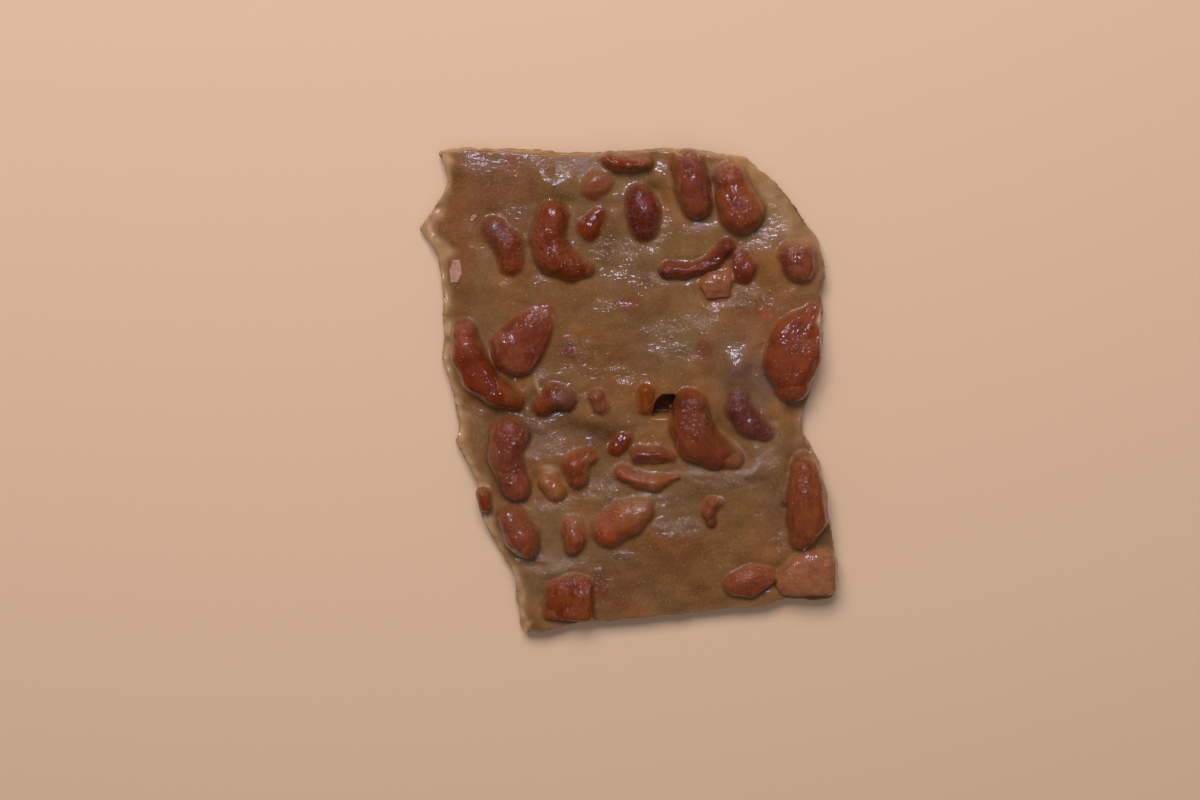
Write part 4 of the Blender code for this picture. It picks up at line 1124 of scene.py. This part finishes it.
# Darker and paler parts of the nuts, which show through the film as well; among them painted shade along a nut's
# lower side and painted sheen on nuts' upper parts.
NUT_STAINS_SHADE_AND_SHEEN = [
    ColourPatch(47.3, 22.0, 0.6, 1.4, -18, (190, 170, 158), 0.9),
    ColourPatch(12.4, 0.8, 2.6, 2.2, 0, (76, 38, 26), 0.6),
    ColourPatch(9.6, -3.9, 0.5, 0.7, 0, (150, 110, 90), 0.7),
    ColourPatch(-17.2, 1.6, 2.2, 2.8, 0, (94, 62, 58), 0.75),
    ColourPatch(-23.0, -1.4, 2.6, 2.2, 0, (116, 52, 28), 0.6),
    ColourPatch(-30.6, 40.5, 2.6, 4.5, 8, (94, 38, 18), 0.8),
    ColourPatch(-30.4, 36.0, 3.2, 3.4, 0, (112, 52, 28), 0.6),
    ColourPatch(-36.5, 45.0, 2.2, 2.8, 20, (86, 54, 50), 0.7),
    ColourPatch(4.0, 52.6, 2.0, 2.6, 0, (98, 42, 32), 0.6),
    # These three: darker along a nut's lower side, painted shade over the nut's darker skin.
    ColourPatch(7.6, 32.6, 1.6, 1.6, 0, (70, 32, 28), 0.7),
    ColourPatch(19.0, 35.0, 3.0, 1.6, 30, (84, 38, 30), 0.6),
    ColourPatch(24.0, 37.5, 1.4, 2.4, 10, (78, 38, 32), 0.7),
    ColourPatch(38.5, 37.0, 1.2, 2.0, 0, (84, 42, 38), 0.6),
    ColourPatch(-20.6, 48.6, 3.0, 2.0, 0, (112, 54, 34), 0.6),
    ColourPatch(-31.7, -9.6, 4.0, 3.0, 0, (112, 56, 44), 0.5),
    ColourPatch(-29.0, -22.5, 2.0, 3.0, 0, (122, 62, 48), 0.6),
    ColourPatch(-28.4, -38.0, 2.6, 3.2, 0, (118, 58, 36), 0.6),
    ColourPatch(-6.4, -36.6, 3.0, 2.0, 0, (136, 66, 36), 0.6),
    # These two: lighter upper parts of two nuts, a painted sheen.
    ColourPatch(-7.1, -31.9, 2.4, 2.4, 0, (128, 76, 62), 0.5),
    ColourPatch(-42.7, 17.7, 2.6, 3.4, 0, (128, 68, 54), 0.65),
]
bleed = 0.35 * blur(nut_there * 1.0, 0.9)
depth = np.where(nut_there, height - nut_top, 9.0)
through = np.where(nut_there, np.exp(-np.clip(depth, 0, None) / nut_clear), 0.0)
through = np.clip(blur(through, 0.4) + bleed * (1 - through), 0, 1)
for colour_patch in NUT_STAINS_SHADE_AND_SHEEN:
    share = np.minimum(1, 1.3 * lift_at(x_places, y_places, [Mark(*colour_patch[:5], 1.0)])) * colour_patch.share
    nut_tint_shade_and_sheen = [band + (value - band) * share for band, value in zip(nut_tint_shade_and_sheen, painted(*colour_patch.colour))]
own = [band + (value * warm - band) * through for band, value, warm in zip(own, nut_tint_shade_and_sheen, (1.04, 0.92, 0.75))]
pale = np.clip(rim * (0.55 + 0.25 * ripples(4.0)) + 0.85 * left_rim + 0.15 * slanted, 0, 0.9)
own = [band + (value - band) * pale for band, value in zip(own, painted(160, 124, 92))]
# Painted shade: the hole's floor is darkened.
own = [band + (value - band) * hole for band, value in zip(own, painted(70, 38, 26))]
grit = grit * (1 - hole)

# Round each nut's foot the candy's film runs out over it.
nearly_out = stepped(1 - blur(nut_there * 1.0, 1.0), 0.03, 0.55)
for nut, piece in zip(all_nuts, nuts):
    points = points_of(piece)
    above = points[:, 2] / MM - at(ground, points) + 0.3 * wander(points / MM, (2.0, 2.0, 2.0), 31)
    share = 0.8 * np.exp(-np.clip(above, 0, None) / (0.15 + 0.35 * nut.soft))
    veil = 0.45 + 0.3 * wander(points / MM, (2.5, 2.5, 2.5), 32)
    share = np.maximum(share, np.clip(veil * nut.soft, 0.1, 0.75) * at(nearly_out, points))
    colour = np.empty(len(points) * 4)
    piece.data.attributes["colour"].data.foreach_get("color", colour)
    colour = colour.reshape(-1, 4)
    candy_here = np.column_stack([at(band, points) for band in plain])
    colour[:, :3] += (candy_here - colour[:, :3]) * share[:, None]
    for colour_patch in NUT_STAINS_SHADE_AND_SHEEN:
        share = np.minimum(1, 1.3 * lift_at(points[:, 0] / MM, points[:, 1] / MM, [Mark(*colour_patch[:5], 1.0)]))
        colour[:, :3] += (painted(*colour_patch.colour) - colour[:, :3]) * (share * colour_patch.share)[:, None]
    piece.data.attributes["colour"].data.foreach_set("color", colour.ravel())

slab = copy_of_solid("candy", "candy_slab")
for piece in nuts:
    plug = copy_of_solid(piece["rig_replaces"][0], "plug")
    fatten(plug, 0.6 * MM)
    points = points_of(plug)
    points[:, 2] = np.minimum(points[:, 2], at(face, points) * MM)
    set_points(plug, points)
    select_only(slab)
    plug.select_set(True)
    bpy.ops.object.join()
bpy.ops.object.select_all(action="DESELECT")
bpy.ops.mesh.primitive_cylinder_add(radius=4.2 * MM, depth=4.2 * MM, location=(7.95 * MM, -1.85 * MM, 3.2 * MM))
bpy.context.object.name = "hole_plug"
slab.select_set(True)
bpy.context.view_layer.objects.active = slab
bpy.ops.object.join()
apply_modifier(slab, "REMESH", mode="VOXEL", voxel_size=0.9 * MM)

# Closer faces above and round the edge, coarse ones on the flat underside.
bpy.ops.object.mode_set(mode="EDIT")
mesh = bmesh.from_edit_mesh(slab.data)
for face_of_slab in mesh.faces:
    face_of_slab.select = face_of_slab.normal.z > -0.6
bmesh.update_edit_mesh(slab.data)
bpy.ops.mesh.subdivide(number_cuts=1)
bpy.ops.object.mode_set(mode="OBJECT")

points = points_of(slab)
share = points[:, 2] / (at(face, points) * MM)
upper = stepped(share, 0.5, 0.85)
points[:, 2] = (1 - upper) * points[:, 2] + upper * at(height, points) * MM
chips = wander(points / MM, (3.0, 3.0, 1.2), 21) + 0.5 * wander(points / MM, (1.0, 1.0, 0.7), 22)
edge = np.abs(normals_of(slab)[:, 2]) < 0.6
inward = normals_of(slab) * np.array([1, 1, 0]) * edge[:, None]
points -= inward * np.clip(0.4 + 0.6 * chips, 0, None)[:, None] * MM
low_side = stepped(1 - share, 0.75, 0.95)
points[:, 2] += low_side * np.clip(0.10 + 0.07 * at(ripples(2.5), points), 0, None) * MM
set_points(slab, keep_in_box(points))
slab.data.shade_smooth()
side = stepped(1 - np.abs(normals_of(slab)[:, 2]), 0.5, 0.95) * stepped(1 - at(within, points), 0.1, 0.8)
broken = np.array(painted(166, 128, 92))[None, :] * (1 + 0.25 * chips)[:, None]
colour = np.column_stack([at(band, points) for band in own])
under = stepped(1 - share, 0.5, 0.9)[:, None]
ghost = at(blur(nut_there * 1.0, 1.6) * (0.75 + 0.25 * ripples(2.0)), points)[:, None]
beneath = np.array(painted(122, 86, 54)) * (1 + 0.25 * chips)[:, None]
beneath = beneath + (np.array(painted(92, 50, 34)) - beneath) * 0.5 * ghost
colour = colour * (1 - under) + under * beneath
colour += (broken - colour) * (0.75 * side)[:, None]
store(slab, "colour", "FLOAT_COLOR", np.column_stack([np.clip(colour, 0.001, 1), np.ones(len(points))]))
store(slab, "grit", "FLOAT", at(grit, points))
store(slab, "dry", "FLOAT", at(dry, points))

candy = bpy.data.materials.new("candy")
candy.use_nodes = True
tree = candy.node_tree
shader = shader_of(candy)
place = node(tree, "ShaderNodeTexCoord")
clouds = node(tree, "ShaderNodeTexNoise", Vector=(place, "Object"), Scale=220.0, Detail=4.0, Roughness=0.6)
speckle = node(tree, "ShaderNodeTexNoise", Vector=(place, "Object"), Scale=1500.0, Detail=3.0, Roughness=0.6)
flat = node(tree, "ShaderNodeMapping", Vector=(place, "Object"), Scale=(0.7, 1.2, 1.0))
fine = node(tree, "ShaderNodeTexNoise", Vector=(flat, "Vector"), Scale=1500.0, Detail=4.0, Roughness=0.6)
base = mix(tree, ramp(tree, (clouds, "Fac"), 0.35, 0.65), (0.90, 0.87, 0.82, 1.0), (1.1, 1.13, 1.18, 1.0))
base = mix(tree, 1.0, (kept(tree, "colour"), "Color"), base, "MULTIPLY")
base = mix(tree, ramp(tree, (speckle, "Fac"), 0.42, 0.72, 0.0, 0.14), base, (0.36, 0.25, 0.15, 1.0))
# Tiny pale specks: bubbles in the coat and painted glints.
base = specks_and_painted_glints(tree, (place, "Object"), 1700.0, base)
tree.links.new(base[0].outputs[base[1]], shader.inputs["Base Color"])
gloss = ramp(tree, (clouds, "Fac"), 0.3, 0.7, 0.34, 0.5)
tree.links.new(gloss[0].outputs[gloss[1]], shader.inputs["Roughness"])
pocks = ramp(tree, (kept(tree, "grit"), "Fac"), 0.0, 1.0, 0.45, 1.0)
bump = node(tree, "ShaderNodeBump", Strength=pocks, Distance=0.16 * MM, Height=(fine, "Fac"))
tree.links.new(bump.outputs["Normal"], shader.inputs["Normal"])
wet = node(tree, "ShaderNodeTexNoise", Vector=(flat, "Vector"), Scale=900.0, Detail=2.0, Roughness=0.42)
drops = ramp(tree, (kept(tree, "grit"), "Fac"), 0.0, 1.0, 0.14, 1.0)
glaze = node(tree, "ShaderNodeBump", Strength=drops, Distance=1.1 * MM, Height=(wet, "Fac"))
tree.links.new(glaze.outputs["Normal"], shader.inputs["Coat Normal"])
shader.inputs["Specular IOR Level"].default_value = 0.25
coat = ramp(tree, (kept(tree, "dry"), "Fac"), 0.0, 0.6, 0.6, 0.0)
tree.links.new(coat[0].outputs[coat[1]], shader.inputs["Coat Weight"])
shader.inputs["Coat Roughness"].default_value = 0.06
shader.inputs["Subsurface Weight"].default_value = 0.25
shader.inputs["Subsurface Radius"].default_value = (1.0, 0.5, 0.2)
shader.inputs["Subsurface Scale"].default_value = 1.4 * MM
slab.data.materials.append(candy)
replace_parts(slab, "candy")
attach(slab, "root")

# ---------------------------------------------------------------- pale flakes
# Flakes of nut skin and crumbs of nut, too small to be pieces of their own, that stuck flat in the
# candy's face as it set. They are thin and sharp-edged, and the candy holds them by their undersides.

Flake = namedtuple("Flake", "x y long wide thick turn corners colour")
FLAKES = [
    Flake(-45.0, 33.6, 6.6, 3.2, 0.5, 84, 6, (158, 122, 108)),
    Flake(-40.1, 47.7, 2.6, 1.2, 0.4, 48, 5, (146, 106, 92)),
    Flake(31.5, 6.8, 0.8, 0.7, 0.6, 60, 6, (150, 120, 96)),
    Flake(9.9, -2.9, 1.0, 0.8, 0.7, 50, 5, (150, 104, 80)),
]
flakes = []
for number, flake in enumerate(FLAKES):
    bpy.ops.object.select_all(action="DESELECT")
    bpy.ops.mesh.primitive_cylinder_add(vertices=flake.corners, radius=0.5, depth=1.0, end_fill_type="TRIFAN")
    made = bpy.context.object
    made.name = "flake"
    bpy.ops.object.mode_set(mode="EDIT")
    bpy.ops.mesh.select_all(action="SELECT")
    bpy.ops.mesh.subdivide(number_cuts=3)
    bpy.ops.object.mode_set(mode="OBJECT")
    apply_modifier(made, "BEVEL", width=0.03, segments=2, limit_method="ANGLE")
    points = points_of(made)
    uneven = 1 + 0.22 * wander(points + number, (0.6, 0.6, 3.0), 41)
    turn = math.radians(flake.turn)
    along, across = points[:, 0] * flake.long * uneven, points[:, 1] * flake.wide * uneven
    x = flake.x + along * math.cos(turn) - across * math.sin(turn)
    y = flake.y + along * math.sin(turn) + across * math.cos(turn)
    placed = np.column_stack([x, y, np.zeros(len(x))]) * MM
    high = at(height, placed) + flake.thick * (points[:, 2] + 0.1) + 0.06 * wander(placed / MM, (0.8, 0.8, 0.8), 42)
    placed[:, 2] = high * MM
    set_points(made, keep_in_box(placed))
    colour = np.array(painted(*flake.colour)) * (1 + 0.2 * wander(placed / MM, (0.7, 0.7, 0.7), 43)[:, None])
    store(made, "colour", "FLOAT_COLOR", np.column_stack([colour, np.ones(len(x))]))
    store(made, "grain", "FLOAT_VECTOR", placed / MM)
    store(made, "grit", "FLOAT", np.full(len(x), 0.2))
    store(made, "fibre", "FLOAT", np.full(len(x), 0.6))
    made.data.shade_smooth()
    flakes.append(made)
select_only(flakes[0])
for made in flakes:
    made.select_set(True)
bpy.ops.object.join()
flakes[0].name = "pale_flakes"
flakes[0].data.materials.append(nut_material("pale_flake", 0.45))
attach(flakes[0], "root")

bpy.context.view_layer.update()
